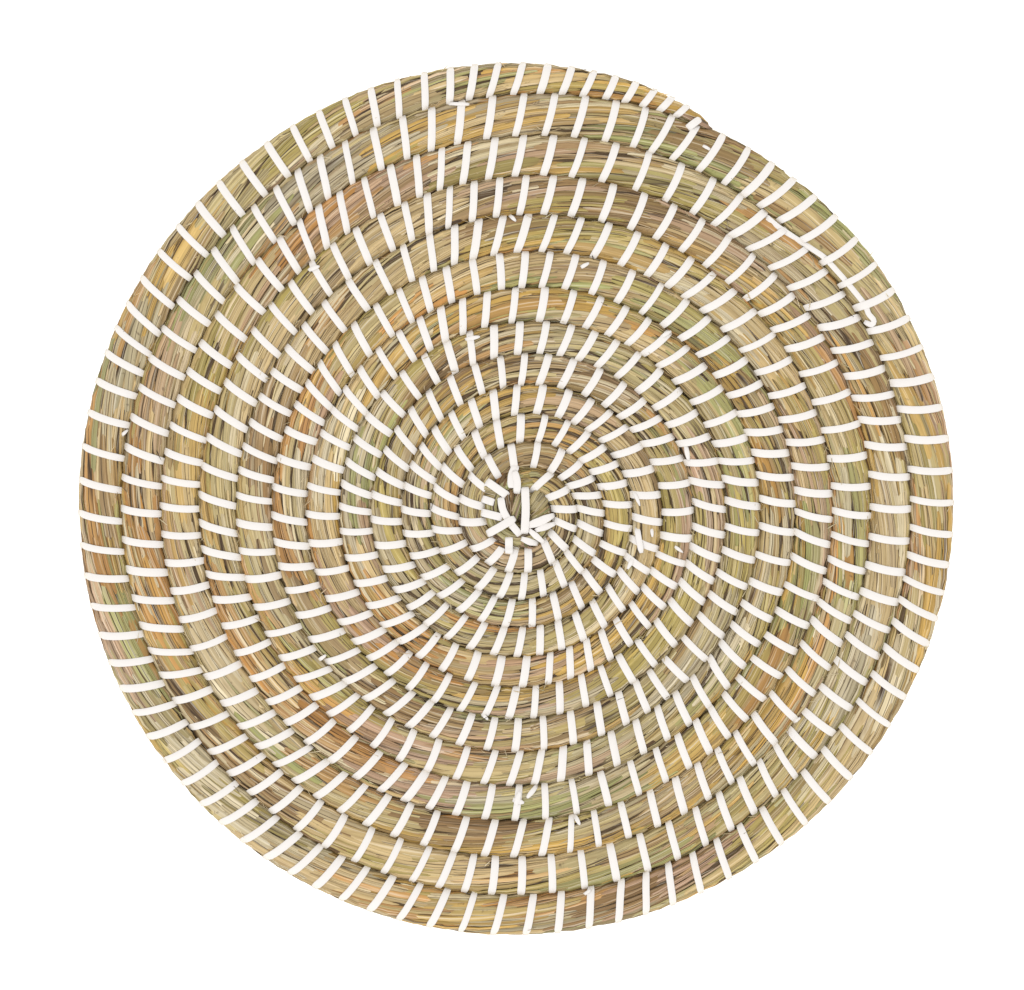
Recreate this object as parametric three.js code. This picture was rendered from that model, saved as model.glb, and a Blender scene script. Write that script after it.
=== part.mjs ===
import * as THREE from 'three';
import { mergeVertices } from 'three/addons/utils/BufferGeometryUtils.js';

// A round placemat made of one long bundle of dried seagrass, coiled flat from the middle
// outwards. Every turn lies against the turn inside it, so the face and the underside both
// show a spiral of rounded ridges. Millimetres, +Z up, and the mat lies on Z = 0 with the
// middle of its outline on the Z axis. Seen from above the coil winds outwards clockwise.

// Heights of the bundle's section
const CROWN_HEIGHT = 9; // thickness of the mat, floor to the top of a ridge
const TOP_CREVICE_HEIGHT = 6.2; // bottom of the groove between two turns, on the face
const FOOT_CREVICE_HEIGHT = 2.3; // roof of the same groove on the underside

// Growth of the coil's outer edge. One turn is 360 degrees from +Y.
const START_RADIUS = 9.45; // edge at turn zero, where the coil first closes
const PITCH = 10.58; // width of the bundle at the start
const PITCH_GAIN = 0.305; // extra edge radius per turn squared, as the bundle grows thicker
const HUB_TURNS = 0.928; // curled tip of the bundle, before turn zero
const COIL_TURNS = 14; // from the tip to the end of the tail
const TAIL_TURNS = 0.272; // stretch over which the bundle thins to nothing

// How the hand-laid coil strays from a true spiral: waves around one turn, and how fast
// each of them builds up with the turns already laid.
const SWAY_TURNS = 12.5;
const SWAY = [
  { power: 2, waves: 1, cosine: 5.67, sine: 2.62 },
  { power: 1, waves: 1, cosine: -0.745, sine: -1.9 },
  { power: 1, waves: 2, cosine: -1.19, sine: 1.57 },
  { power: 0, waves: 1, cosine: -0.71, sine: 0.54 },
];

// Section of the bundle. Across runs from the inner groove to the outer one, and rise is
// the share of the way from the groove to the crown, or down to the floor on the underside.
const FACE_SECTION = [
  { across: 0, rise: 0 },
  { across: 0.13, rise: 0.68 },
  { across: 0.37, rise: 1 },
  { across: 0.63, rise: 1 },
  { across: 0.87, rise: 0.68 },
  { across: 1, rise: 0 },
];
const FOOT_SECTION = [
  { across: 0, rise: 0 },
  { across: 0.22, rise: 1 },
  { across: 0.78, rise: 1 },
  { across: 1, rise: 0 },
];

const STEPS_PER_TURN = 48;
const STEPS = COIL_TURNS * STEPS_PER_TURN;
const GROOVE_RUN_IN = STEPS_PER_TURN / 2; // steps over which the groove reaches its depth
const MERGE_DISTANCE = 1e-4;

const turnAt = (step) => step / STEPS_PER_TURN - HUB_TURNS;
const angleAt = (step) => 2 * Math.PI * turnAt(step);
const mix = (from, to, share) => from + (to - from) * share;

// Share of its full width that the bundle still has: 1 along the coil, and a quarter of
// an ellipse down to 0 along the tail.
function widthShare(step) {
  const alongTail = (turnAt(step) - turnAt(STEPS) + TAIL_TURNS) / TAIL_TURNS;
  return Math.sqrt(Math.max(0, 1 - Math.max(0, alongTail) ** 2));
}

function sway(step) {
  const grown = Math.max(0, turnAt(step)) / SWAY_TURNS;
  const angle = angleAt(step);
  return SWAY.reduce((sum, { power, waves, cosine, sine }) => {
    const wave = cosine * Math.cos(waves * angle) + sine * Math.sin(waves * angle);
    return sum + grown ** power * wave;
  }, 0);
}

// Radius of the coil's outer edge at each step. The hub grows evenly from a point to the
// radius at turn zero, and the tail closes in on the turn inside it.
function coilEdges() {
  const zeroRadius = START_RADIUS + sway(HUB_TURNS * STEPS_PER_TURN);
  const edges = [];
  for (let step = 0; step <= STEPS; step += 1) {
    const turn = turnAt(step);
    const hub = zeroRadius * (turn + HUB_TURNS) / HUB_TURNS;
    const full = START_RADIUS + PITCH * turn + PITCH_GAIN * turn ** 2 + sway(step);
    const inner = step < STEPS_PER_TURN ? 0 : edges[step - STEPS_PER_TURN];
    edges.push(turn < 0 ? hub : mix(inner, full, widthShare(step)));
  }
  return edges;
}

// One side of the coil: a row of section points for each step. The grooves start level
// with the middle of the mat and deepen, and the ridge sinks to the groove at the tail.
function layRows(edges, section, grooveHeight, ridgeHeight) {
  const grooveAt = (step) => mix(ridgeHeight, grooveHeight, Math.min(1, step / GROOVE_RUN_IN));
  const rows = [];
  for (let step = 0; step <= STEPS; step += 1) {
    const before = step - STEPS_PER_TURN;
    const inner = before < 0 ? 0 : edges[before];
    const innerGroove = before < 0 ? ridgeHeight : grooveAt(before);
    const ridgeShare = Math.sqrt(widthShare(step));
    rows.push(section.map(({ across, rise }) => {
      const radius = mix(inner, edges[step], across);
      const groove = mix(innerGroove, grooveAt(step), across);
      return new THREE.Vector3(
        radius * Math.sin(angleAt(step)),
        radius * Math.cos(angleAt(step)),
        mix(groove, ridgeHeight, rise * ridgeShare),
      );
    }));
  }
  return rows;
}

// Two triangles for each cell between neighbouring rows of points.
function sheetTriangles(rows, facesUp) {
  const triangles = [];
  for (let row = 0; row + 1 < rows.length; row += 1) {
    for (let point = 0; point + 1 < rows[row].length; point += 1) {
      const near = rows[row][point];
      const nearOut = rows[row][point + 1];
      const next = rows[row + 1][point];
      const nextOut = rows[row + 1][point + 1];
      if (facesUp) triangles.push([near, next, nearOut], [next, nextOut, nearOut]);
      else triangles.push([near, nearOut, next], [next, nearOut, nextOut]);
    }
  }
  return triangles;
}

// Upright edge of the mat, around the outside of its last full turn.
function rimTriangles(faceRows, footRows) {
  const outerPoint = (row) => row[row.length - 1];
  const wall = [];
  for (let step = STEPS - STEPS_PER_TURN; step <= STEPS; step += 1) {
    wall.push([outerPoint(faceRows[step]), outerPoint(footRows[step])]);
  }
  return sheetTriangles(wall, true);
}

// A closed body from loose triangles: shared points become one, and the cells that have
// shrunk to a line at the tip and at the end of the tail are left out.
function closedBody(triangles) {
  const loose = new THREE.BufferGeometry().setFromPoints(triangles.flat());
  const body = mergeVertices(loose, MERGE_DISTANCE);
  const corners = Array.from(body.index.array);
  const kept = [];
  for (let corner = 0; corner < corners.length; corner += 3) {
    const [a, b, c] = corners.slice(corner, corner + 3);
    if (a !== b && b !== c && c !== a) kept.push(a, b, c);
  }
  body.setIndex(kept);
  return body;
}

function makeSeagrassCoil() {
  const edges = coilEdges();
  const faceRows = layRows(edges, FACE_SECTION, TOP_CREVICE_HEIGHT, CROWN_HEIGHT);
  const footRows = layRows(edges, FOOT_SECTION, FOOT_CREVICE_HEIGHT, 0);
  const geometry = closedBody([
    ...sheetTriangles(faceRows, true),
    ...sheetTriangles(footRows, false),
    ...rimTriangles(faceRows, footRows),
  ]);

  // The coil is drawn around its own start, which is a little off the middle of the mat.
  geometry.computeBoundingBox();
  const middle = geometry.boundingBox.getCenter(new THREE.Vector3());
  geometry.translate(-middle.x, -middle.y, 0);
  geometry.computeVertexNormals();

  const seagrass = new THREE.MeshStandardMaterial({
    color: 0xb09c68,
    roughness: 0.8,
    metalness: 0,
  });
  const coil = new THREE.Mesh(geometry, seagrass);
  coil.name = 'seagrass_coil';
  return coil;
}

const group = new THREE.Group();
group.add(makeSeagrassCoil());

export default group;
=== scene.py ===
"""Looks of a round placemat, coiled from dried seagrass and sewn with white plastic strip.

A long bundle of seagrass is laid as a flat spiral, and one strip wraps it and is pulled
through the turn inside it, stitch after stitch. Lengths are worked out in millimetres in the
part's own frame and turned to metres where a mesh is made. Places along the coil are counted
in turns, clockwise from +Y seen from above, with turn 0 where the coil first closes.
"""

from __future__ import annotations

import logging
import math
from dataclasses import dataclass, field
from enum import Enum

import bpy
import numpy as np
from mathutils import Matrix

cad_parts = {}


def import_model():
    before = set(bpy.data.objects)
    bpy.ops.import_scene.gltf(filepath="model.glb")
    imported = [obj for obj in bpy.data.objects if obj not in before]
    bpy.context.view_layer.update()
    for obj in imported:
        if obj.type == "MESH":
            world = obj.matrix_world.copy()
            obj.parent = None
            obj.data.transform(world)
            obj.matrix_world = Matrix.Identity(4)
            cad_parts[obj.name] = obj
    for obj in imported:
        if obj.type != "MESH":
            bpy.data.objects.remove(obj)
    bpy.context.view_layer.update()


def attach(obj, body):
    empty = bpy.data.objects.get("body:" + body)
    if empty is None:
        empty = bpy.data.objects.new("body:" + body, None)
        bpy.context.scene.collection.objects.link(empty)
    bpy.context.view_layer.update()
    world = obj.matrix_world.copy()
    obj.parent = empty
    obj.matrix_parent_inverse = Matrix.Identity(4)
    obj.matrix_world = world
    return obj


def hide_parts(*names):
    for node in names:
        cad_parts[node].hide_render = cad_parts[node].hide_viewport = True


MM = 0.001
BODY = "root"
CAD_COIL = "seagrass_coil"
LOG = logging.getLogger("placemat")

# The photograph, from straight above: its scale, and the pixel at the middle of the mat
PHOTO_MM_PER_PIXEL = 0.43553
PHOTO_MAT_MIDDLE = (516.0, 499.0)
PHOTO_MIDDLE = (512.0, 495.0)
PHOTO_WIDTH = 1024

# Height at which two turns touch, in millimetres
CREVICE_HEIGHT = 4.3

# Section of a stalk: a low arch of five corners, as shares of its width and its height
ARCH_SIDE = np.array([-0.5, -0.4, 0.0, 0.4, 0.5])
ARCH_RISE = np.array([0.0, 0.8, 1.0, 0.8, 0.0])

# Each ribbon reads the patterns of its finish up to this many millimetres away
PATTERN_SPAN = 400.0

# Steps of this share of a round spread evenly over it
GOLDEN_SHARE = 0.6180339887

UP = np.array([0.0, 0.0, 1.0])


def from_photo(places: np.ndarray) -> np.ndarray:
    """Turns places on the photograph into places on the mat.

    Args:
        places: rows of pixel x and y, y counted downwards.

    Returns:
        Rows of x and y in millimetres from the middle of the mat.
    """
    offset = np.asarray(places, float) - np.array(PHOTO_MAT_MIDDLE)
    return offset * np.array([PHOTO_MM_PER_PIXEL, -PHOTO_MM_PER_PIXEL])


def linear_colour(hex_code: str) -> np.ndarray:
    """Turns an sRGB colour into the linear one that shaders use.

    Args:
        hex_code: six hexadecimal digits, red first.

    Returns:
        Linear red, green and blue, from 0 to 1.
    """
    shares = np.array([int(hex_code[i : i + 2], 16) for i in (0, 2, 4)]) / 255
    return np.where(shares <= 0.04045, shares / 12.92, ((shares + 0.055) / 1.055) ** 2.4)


def smooth_step(value: np.ndarray, start: float, end: float) -> np.ndarray:
    """Runs from 0 at start to 1 at end along 3t^2 - 2t^3.

    Args:
        value: where to read the step.
        start: value that gives 0.
        end: value that gives 1.

    Returns:
        The step at each value.
    """
    share = np.clip((value - start) / (end - start), 0, 1)
    return share * share * (3 - 2 * share)


def unit(vectors: np.ndarray) -> np.ndarray:
    """Brings vectors along the last axis to length 1."""
    return vectors / np.maximum(np.linalg.norm(vectors, axis=-1, keepdims=True), 1e-9)


def running_sum(steps: np.ndarray) -> np.ndarray:
    """Adds up steps along the last axis, starting from 0."""
    return np.concatenate([np.zeros(steps.shape[:-1] + (1,)), np.cumsum(steps, axis=-1)], axis=-1)


@dataclass(frozen=True)
class SwayWave:
    """One wave of the hand-laid coil's straying from a true spiral."""

    power: int
    waves: int
    cosine: float
    sine: float


@dataclass(frozen=True)
class Coil:
    """Growth of the coil, the same law as the part's source. Radii are in millimetres."""

    start_radius: float = 9.45
    pitch: float = 10.58
    pitch_gain: float = 0.305
    hub_turns: float = 0.928
    turns: float = 14.0
    tail_turns: float = 0.272
    steps_per_turn: int = 48
    sway_turns: float = 12.5
    sway_waves: tuple[SwayWave, ...] = (
        SwayWave(2, 1, 5.67, 2.62),
        SwayWave(1, 1, -0.745, -1.9),
        SwayWave(1, 2, -1.19, 1.57),
        SwayWave(0, 1, -0.71, 0.54),
    )

    @property
    def last(self) -> float:
        """Turn at the end of the tail."""
        return self.turns - self.hub_turns

    def full_edge(self, turn: np.ndarray) -> np.ndarray:
        """Radius of the outer edge of an untapered coil.

        The edge is start + pitch * turn + gain * turn^2, plus waves around the turn whose
        size grows with a power of the turns already laid.

        Args:
            turn: places along the coil.

        Returns:
            Radius at each place.
        """
        turn = np.asarray(turn, float)
        grown = np.maximum(0, turn) / self.sway_turns
        angle = 2 * math.pi * turn
        radius = self.start_radius + self.pitch * turn + self.pitch_gain * turn**2
        for wave in self.sway_waves:
            around = wave.cosine * np.cos(wave.waves * angle) + wave.sine * np.sin(wave.waves * angle)
            radius = radius + grown**wave.power * around
        return radius

    def width_share(self, turn: np.ndarray) -> np.ndarray:
        """Share of its width that the bundle has: a quarter ellipse from 1 to 0 on the tail."""
        along = (np.asarray(turn, float) - self.last + self.tail_turns) / self.tail_turns
        return np.sqrt(np.clip(1 - np.maximum(0, along) ** 2, 0, 1))

    def outer(self, turn: np.ndarray) -> np.ndarray:
        """Radius of the coil's outer edge.

        The hub grows evenly from a point to the radius at turn 0. On the tail the edge closes
        in on the turn inside it.

        Args:
            turn: places along the coil.

        Returns:
            Radius at each place.
        """
        turn = np.asarray(turn, float)
        zero_radius = self.full_edge(np.array(0.0))
        hub = zero_radius * np.clip((turn + self.hub_turns) / self.hub_turns, 0, None)
        before = self.full_edge(turn - 1)
        tapered = before + self.width_share(turn) * (self.full_edge(turn) - before)
        coil = np.where(turn > self.last - self.tail_turns, tapered, self.full_edge(turn))
        return np.where(turn < 0, hub, coil)

    def inner(self, turn: np.ndarray) -> np.ndarray:
        """Radius of the edge that the bundle lies against, one turn before."""
        return np.maximum(0, self.outer(np.asarray(turn, float) - 1))

    def width(self, turn: np.ndarray) -> np.ndarray:
        """Width of the bundle, from its inner edge to its outer one."""
        return self.outer(turn) - self.inner(turn)

    def middle(self) -> np.ndarray:
        """Finds the middle of the mat's outline, which the part's frame is centred on.

        Returns:
            x and y of the middle, counted from the coil's own start.
        """
        steps = np.arange(self.turns * self.steps_per_turn + 1) / self.steps_per_turn
        turn = steps - self.hub_turns
        edge = self.around(turn, self.outer(turn))
        return (edge.min(axis=0) + edge.max(axis=0)) / 2

    @staticmethod
    def around(turn: np.ndarray, radius: np.ndarray) -> np.ndarray:
        """Places on the plane: x is radius * sin(angle) and y is radius * cos(angle)."""
        angle = 2 * math.pi * np.asarray(turn)
        return np.stack([radius * np.sin(angle), radius * np.cos(angle)], axis=-1)


@dataclass(frozen=True)
class Marks:
    """Where the strip crosses the bundle, in order along the coil.

    hole and outer are the turns of its inner and its outer end, sewn is 1 for a stitch and 0
    for a plain mark, and sag is how far its middle hangs clockwise, in turns.
    """

    hole: np.ndarray
    outer: np.ndarray
    sewn: np.ndarray
    sag: np.ndarray
    bow: float = 0.5

    def crossing(self, index: np.ndarray, across: np.ndarray) -> np.ndarray:
        """Turn at which a stitch crosses a place across the bundle.

        The strip leaves its hole at a slant, turns towards the rim and ends a little
        clockwise: hole + shift * (p + bow * p * (1 - p)^2) + 4 * sag * p * (1 - p) for a
        share p of the width.

        Args:
            index: whole number of the mark.
            across: share of the width, 0 at the inner crevice and 1 at the outer one.

        Returns:
            Turn of the crossing.
        """
        share = np.clip(across, 0, 1)
        bend = share + self.bow * share * (1 - share) ** 2
        sag = 4 * self.sag[index] * share * (1 - share)
        return self.hole[index] + (self.outer[index] - self.hole[index]) * bend + sag


@dataclass
class SewingPlan:
    """The sewer's rule for where each stitch goes. Lengths are in millimetres.

    Each stitch of a turn goes through the turn inside it just before one of that turn's
    stitches. Where the stitches have spread too far apart a hole takes two, in a V.
    """

    coil: Coil
    seed: int = 11
    # Distance between stitches along the outer edge: at first, when full, and at the very end
    first_pitch: float = 9.4
    last_pitch: float = 13.2
    tail_pitch: float = 7.0
    full_turn: float = 12.0
    # How far a hole lies before the stitch that it passes, and at most, as a share of the gap
    hole_offset: float = 4.3
    offset_spread: float = 0.2
    largest_offset: float = 0.62
    half_way_chance: float = 0.2
    # Lean of the stitches: everywhere, near the hub, on the tail, in slow waves and by chance
    lean_degrees: float = 12.0
    early_lean_degrees: float = 11.0
    tail_lean_degrees: float = 22.0
    swing_degrees: float = 3.0
    lean_spread_degrees: float = 2.0
    # Two stitches in a V: pitches left over before one, and how far apart their holes and
    # their outer ends are, as shares of the gap and of the pitch. Some share one wide hole.
    double_excess: float = 0.55
    double_apart: float = 0.6
    double_spread: float = 0.72
    shared_hole_chance: float = 0.05
    shared_hole_width: float = 1.9
    shared_spread: float = 0.85
    # Least way on from the stitch before: of outer ends as a share of the pitch, and of holes
    least_step: float = 0.62
    least_hole_step: float = 1.0
    # Turns before the tail's end from which no stitch is begun, and none is kept
    last_begun: float = 0.012
    last_kept: float = 0.003
    # All the arches sag one way, as from a pull: direction in degrees from +Y, share of width
    sag_towards: float = 158.0
    sag_share: float = 0.056
    # Share of the way that a stitch moves towards an even spacing, and chance left in it
    evenness: float = 0.45
    pitch_spread: float = 0.04
    smoothing: float = 0.22
    # Ends of the strips over the hub, then the first ring: its holes and outer ends in turns
    hub_ends: tuple[float, ...] = (0.805, 0.869, 0.974)
    first_ring: tuple[tuple[float, float], ...] = (
        (1.053, 1.100),
        (1.160, 1.172),
        (1.226, 1.239),
        (1.285, 1.299),
        (1.350, 1.363),
        (1.400, 1.418),
        (1.480, 1.490),
        (1.535, 1.543),
        (1.585, 1.600),
        (1.632, 1.655),
        (1.714, 1.731),
        (1.772, 1.788),
    )

    def pitch_at(self, turn: float) -> float:
        """Distance between stitches along the outer edge: it grows, then falls on the tail.

        It runs straight from first_pitch to last_pitch at full_turn, and then to tail_pitch
        with the cube of the share of the tail that is laid.

        Args:
            turn: place along the coil.

        Returns:
            The distance.
        """
        late = max(0.0, 1 + (turn - self.coil.last) / self.coil.tail_turns)
        grown = min(turn / self.full_turn, 1)
        pitch = self.first_pitch + (self.last_pitch - self.first_pitch) * grown
        return pitch + (self.tail_pitch - pitch) * late**3

    def lean_at(self, hole: float, waves: np.ndarray) -> float:
        """Lean of a stitch before chance is added.

        To the even lean comes an early one, which falls off as exp(-hole / 4) and changes
        side around the hub, a late one, which grows along the tail, and two slow sines.

        Args:
            hole: turn of its hole.
            waves: where the slow waves start, in radians.

        Returns:
            The lean towards the rim's clockwise side, in degrees.
        """
        swing = math.sin(9.1 * hole + waves[0]) + math.sin(23.0 * hole + waves[1])
        early = math.exp(-hole / 4) * math.cos(2 * math.pi * (hole - 0.66))
        late = max(0.0, (hole - self.coil.last) / self.coil.tail_turns + 0.6)
        lean = self.lean_degrees + self.early_lean_degrees * early + self.tail_lean_degrees * late
        return lean + self.swing_degrees * swing

    def lay(self) -> Marks:
        """Lays the stitches one after another from the first ring to the end of the tail.

        The spacing is then evened out a little, as a sewer does by eye.

        Returns:
            The marks, with plain ones over the hub and at the end of the tail.
        """
        rng = np.random.default_rng(self.seed)
        waves = rng.uniform(0, 2 * math.pi, 3)
        ends = list(self.hub_ends) + [end for _, end in self.first_ring]
        holes = [hole for hole, _ in self.first_ring]
        outers = [end for _, end in self.first_ring]
        ring = 0
        excess = 0.0
        while outers[-1] < self.coil.last - self.last_begun:
            beneath = ends[ring + 1] + 1
            around = 2 * math.pi * float(self.coil.inner(beneath))
            gap = ends[ring + 1] - ends[ring]
            offset = self.hole_offset * rng.normal(1, self.offset_spread)
            if rng.random() < self.half_way_chance:
                offset = 0.5 * gap * around
            hole = beneath - min(offset / around, self.largest_offset * gap)
            outer_radius = float(self.coil.outer(hole))
            pitch = self.pitch_at(hole) / (2 * math.pi * outer_radius)
            lean = self.lean_at(hole, waves) + rng.normal(0, self.lean_spread_degrees)
            width = float(self.coil.width(hole))
            shift = width * math.tan(math.radians(lean)) / (2 * math.pi * outer_radius)
            excess = max(excess + gap / pitch - 1, -0.5)
            count = 2 if excess > self.double_excess else 1
            excess -= count - 1
            shared_hole = rng.random() < self.shared_hole_chance
            apart = self.shared_hole_width if shared_hole else self.double_apart * gap * around
            spread = self.shared_spread if shared_hole else self.double_spread
            for place in range(count):
                side = place - (count - 1) / 2
                aim = hole + shift + spread * side * pitch
                even = outers[-1] + pitch
                end = even + self.evenness * (aim - even)
                step = max(end - outers[-1], self.least_step * pitch)
                end = outers[-1] + step * rng.normal(1, self.pitch_spread)
                least_hole = holes[-1] + self.least_hole_step / around
                holes.append(max(hole + side * apart / around, least_hole))
                outers.append(end)
                ends.append(end)
            ring += 1
        outer = self.even_out(np.array(outers), self.smoothing)
        hole = self.even_out(np.array(holes), 0.6 * self.smoothing)
        keep = outer < self.coil.last - self.last_kept
        return self.marks(hole[keep], outer[keep])

    def even_out(self, places: np.ndarray, share: float) -> np.ndarray:
        """Moves each place after the first ring towards its neighbours, three times over.

        Args:
            places: turns of the stitches' holes or outer ends.
            share: how much of the bend between neighbours is taken out each time.

        Returns:
            The same array, evened out.
        """
        ring = len(self.first_ring)
        for _ in range(3):
            bend = places[ring - 1 : -2] - 2 * places[ring:-1] + places[ring + 1 :]
            places[ring:-1] += share * bend
        return places

    def marks(self, hole: np.ndarray, outer: np.ndarray) -> Marks:
        """Adds the plain marks at both ends of the coil, and the sag.

        Args:
            hole: turn of each stitch's hole.
            outer: turn of its outer end.

        Returns:
            The marks.
        """
        hub = np.linspace(-self.coil.hub_turns, 1.0, 17)
        tail = np.array([self.coil.last])
        sewn = np.concatenate([np.zeros(len(hub)), np.ones(len(hole)), np.zeros(1)])
        hole = np.minimum(np.concatenate([hub, hole, tail]), self.coil.last)
        outer = np.concatenate([hub, outer, tail])
        width = self.coil.width(hole)
        pull = np.sin(math.radians(self.sag_towards) - 2 * math.pi * hole)
        around = 2 * math.pi * np.maximum(self.coil.outer(hole) - width / 2, 3)
        return Marks(hole, outer, sewn, sewn * self.sag_share * width * pull / around)


@dataclass
class BundleForm:
    """The bundle's rounded surface, drawn in under each stitch. Millimetres.

    A place on it has a phase, which counts marks along the coil, and a section angle: 0 in
    the outer crevice, 90 degrees on the crown, 180 in the inner crevice, 270 underneath.
    """

    coil: Coil
    marks: Marks
    mid_height: float = CREVICE_HEIGHT
    face_rise: float = 3.75
    foot_drop: float = 3.4
    squareness: float = 2.7
    shoulder: float = 0.58
    # How far a stitch sinks the crown and draws in the flanks, and how far loose flanks sink
    dip: float = 0.55
    side_draw: float = 0.95
    loose_draw: float = 0.5
    flank_power: int = 6
    overlap: float = 0.2
    drawn_half_width: float = 1.7
    drawn_reach: float = 4.3
    thin_width: float = 6.0
    # Half width of a middling section, and the girth of a section: so many widths, and more
    usual_half_width: float = 6.6
    girth_widths: float = 1.78
    girth_more: float = 11.0
    table: tuple[np.ndarray, np.ndarray] = field(init=False)
    middle: np.ndarray = field(init=False)

    def __post_init__(self) -> None:
        """Finds the middle of the mat, and tabulates section angle against girth."""
        self.middle = self.coil.middle()
        angle = np.linspace(0, 2 * math.pi, 721)
        x, y = self.section(angle)
        along = x * self.usual_half_width
        height = y * np.where(y > 0, self.face_rise, self.foot_drop)
        steps = np.hypot(np.diff(along), np.diff(height))
        self.table = (running_sum(steps) / steps.sum(), angle)

    def section(self, angle: np.ndarray) -> tuple[np.ndarray, np.ndarray]:
        """Rounded oblong |x|^squareness + |y|^(1/shoulder) = 1.

        Args:
            angle: section angle.

        Returns:
            x and y, each from -1 to 1.
        """
        cosine, sine = np.cos(angle), np.sin(angle)
        x = np.sign(cosine) * np.abs(cosine) ** (2 / self.squareness)
        y = np.sign(sine) * np.abs(sine) ** (2 * self.shoulder)
        return x, y

    def angle_at(self, girth: np.ndarray) -> np.ndarray:
        """Section angle at a share of the way round the section."""
        return np.interp(np.mod(girth, 1), *self.table)

    def girth_length(self, phase: np.ndarray) -> np.ndarray:
        """Length round the section at a phase."""
        return self.girth_widths * self.coil.width(self.middle_turn(phase)) + self.girth_more

    def split(self, phase: np.ndarray) -> tuple[np.ndarray, np.ndarray]:
        """Parts a phase into the mark before it and the share of the way to the next.

        Args:
            phase: marks counted along the coil.

        Returns:
            Index of the mark, and the share.
        """
        index = np.clip(np.floor(phase).astype(int), 0, len(self.marks.hole) - 2)
        return index, np.clip(phase - index, 0, 1)

    def turn_at(self, phase: np.ndarray, across: np.ndarray) -> np.ndarray:
        """Turn at a phase and a share across, evenly between the marks' crossings.

        Args:
            phase: marks counted along the coil.
            across: share of the width, 0 at the inner crevice and 1 at the outer one.

        Returns:
            Turn of the place.
        """
        index, share = self.split(phase)
        before = self.marks.crossing(index, across)
        after = self.marks.crossing(index + 1, across)
        return before + share * (after - before)

    def middle_turn(self, phase: np.ndarray) -> np.ndarray:
        """Turn at a phase half way across the bundle."""
        return self.turn_at(phase, np.array(0.5))

    def surface(
        self, phase: np.ndarray, angle: np.ndarray, lift: np.ndarray
    ) -> tuple[np.ndarray, np.ndarray]:
        """Points on the bundle.

        The section is stretched between the crevices of its turn. Where the strip holds it,
        its crown sinks by dip and its flanks by side_draw, both fading out at drawn_reach. In
        between, the flanks are loose here and there, as two sines of the phase have it.

        Args:
            phase: marks counted along the coil.
            angle: section angle.
            lift: distance out from the surface.

        Returns:
            Points and unit normals.
        """
        phase, angle, lift = np.broadcast_arrays(phase, angle, lift)
        x, y = self.section(angle)
        across = 0.5 + 0.5 * x
        index, share = self.split(phase)
        before = self.marks.crossing(index, across)
        after = self.marks.crossing(index + 1, across)
        turn = before + share * (after - before)
        inner = self.coil.inner(turn)
        outer = self.coil.outer(turn)
        width = outer - inner
        spacing = (after - before) * 2 * math.pi * np.maximum(outer, 1)
        drawn = self.marks.sewn[index] * self.drawn(share * spacing)
        drawn = drawn + self.marks.sewn[index + 1] * self.drawn((1 - share) * spacing)
        drawn = np.minimum(drawn, 1)
        thinness = np.clip(width / self.thin_width, 0.02, 1) ** 0.5
        flank = np.clip(np.abs(y) * 3, 0, 1)
        half = np.maximum(width / 2 + self.overlap * (1 - flank), 0.05)
        waves = np.sin(2.1 * phase + np.sign(x)) + np.sin(3.7 * phase + 2 * np.sign(x))
        loose = np.clip(waves - 0.3, 0, 1.5)
        draw = np.maximum(self.side_draw * drawn, self.loose_draw * loose)
        draw = np.minimum(draw, 0.5 * half) * flank * np.sign(x) * np.abs(x) ** self.flank_power
        rise = np.where(y > 0, self.face_rise - self.dip * drawn, self.foot_drop) * thinness
        normal_r = np.sign(x) * np.abs(x) ** (self.squareness - 1) * self.squareness
        normal_r = normal_r / np.maximum(half, 0.5)
        power = 1 / self.shoulder
        normal_z = np.sign(y) * np.abs(y) ** (power - 1) * power / np.maximum(rise, 0.5)
        length = np.hypot(normal_r, normal_z) + 1e-9
        normal_r, normal_z = normal_r / length, normal_z / length
        radius = (inner + outer) / 2 + half * x - draw + lift * normal_r
        height = self.mid_height + y * rise + lift * normal_z
        flat = self.coil.around(turn, radius) - self.middle
        outward = self.coil.around(turn, normal_r)
        points = np.concatenate([flat, height[..., None]], axis=-1)
        normals = np.concatenate([outward, normal_z[..., None]], axis=-1)
        return points, normals

    def open_rim(self, phase: np.ndarray, angle: np.ndarray) -> np.ndarray:
        """Tells where the bundle's flank is the outside of the mat.

        Args:
            phase: marks counted along the coil.
            angle: section angle.

        Returns:
            1 on the outer flank of the last turn, and 0 elsewhere.
        """
        turn = self.turn_at(phase, np.array(1.0))
        outside = smooth_step(turn, self.coil.last - 1.03, self.coil.last - 0.97)
        return outside * (np.cos(angle) > 0)

    def drawn(self, distance: np.ndarray) -> np.ndarray:
        """How far the bundle is drawn in at a distance from a stitch's middle, 0 to 1."""
        return 1 - smooth_step(distance, self.drawn_half_width, self.drawn_reach)

    def face_height(self, places: np.ndarray) -> np.ndarray:
        """Height of the bundle's face under places on the mat.

        Args:
            places: rows of x and y in millimetres.

        Returns:
            Height of the undrawn surface at each place.
        """
        offset = np.asarray(places) + self.middle
        radius = np.hypot(offset[..., 0], offset[..., 1])
        share = np.mod(np.arctan2(offset[..., 0], offset[..., 1]) / (2 * math.pi), 1)
        turns = share[..., None] + np.arange(-1, int(self.coil.turns))
        inner = self.coil.inner(turns)
        outer = self.coil.outer(np.minimum(turns, self.coil.last))
        inside = (radius[..., None] >= inner) & (radius[..., None] < outer) & (turns <= self.coil.last)
        x = np.clip((2 * radius[..., None] - inner - outer) / np.maximum(outer - inner, 0.1), -1, 1)
        rise = (1 - np.abs(x) ** self.squareness) ** self.shoulder * self.face_rise
        return self.mid_height + np.max(np.where(inside, rise, 0), axis=-1)


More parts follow.
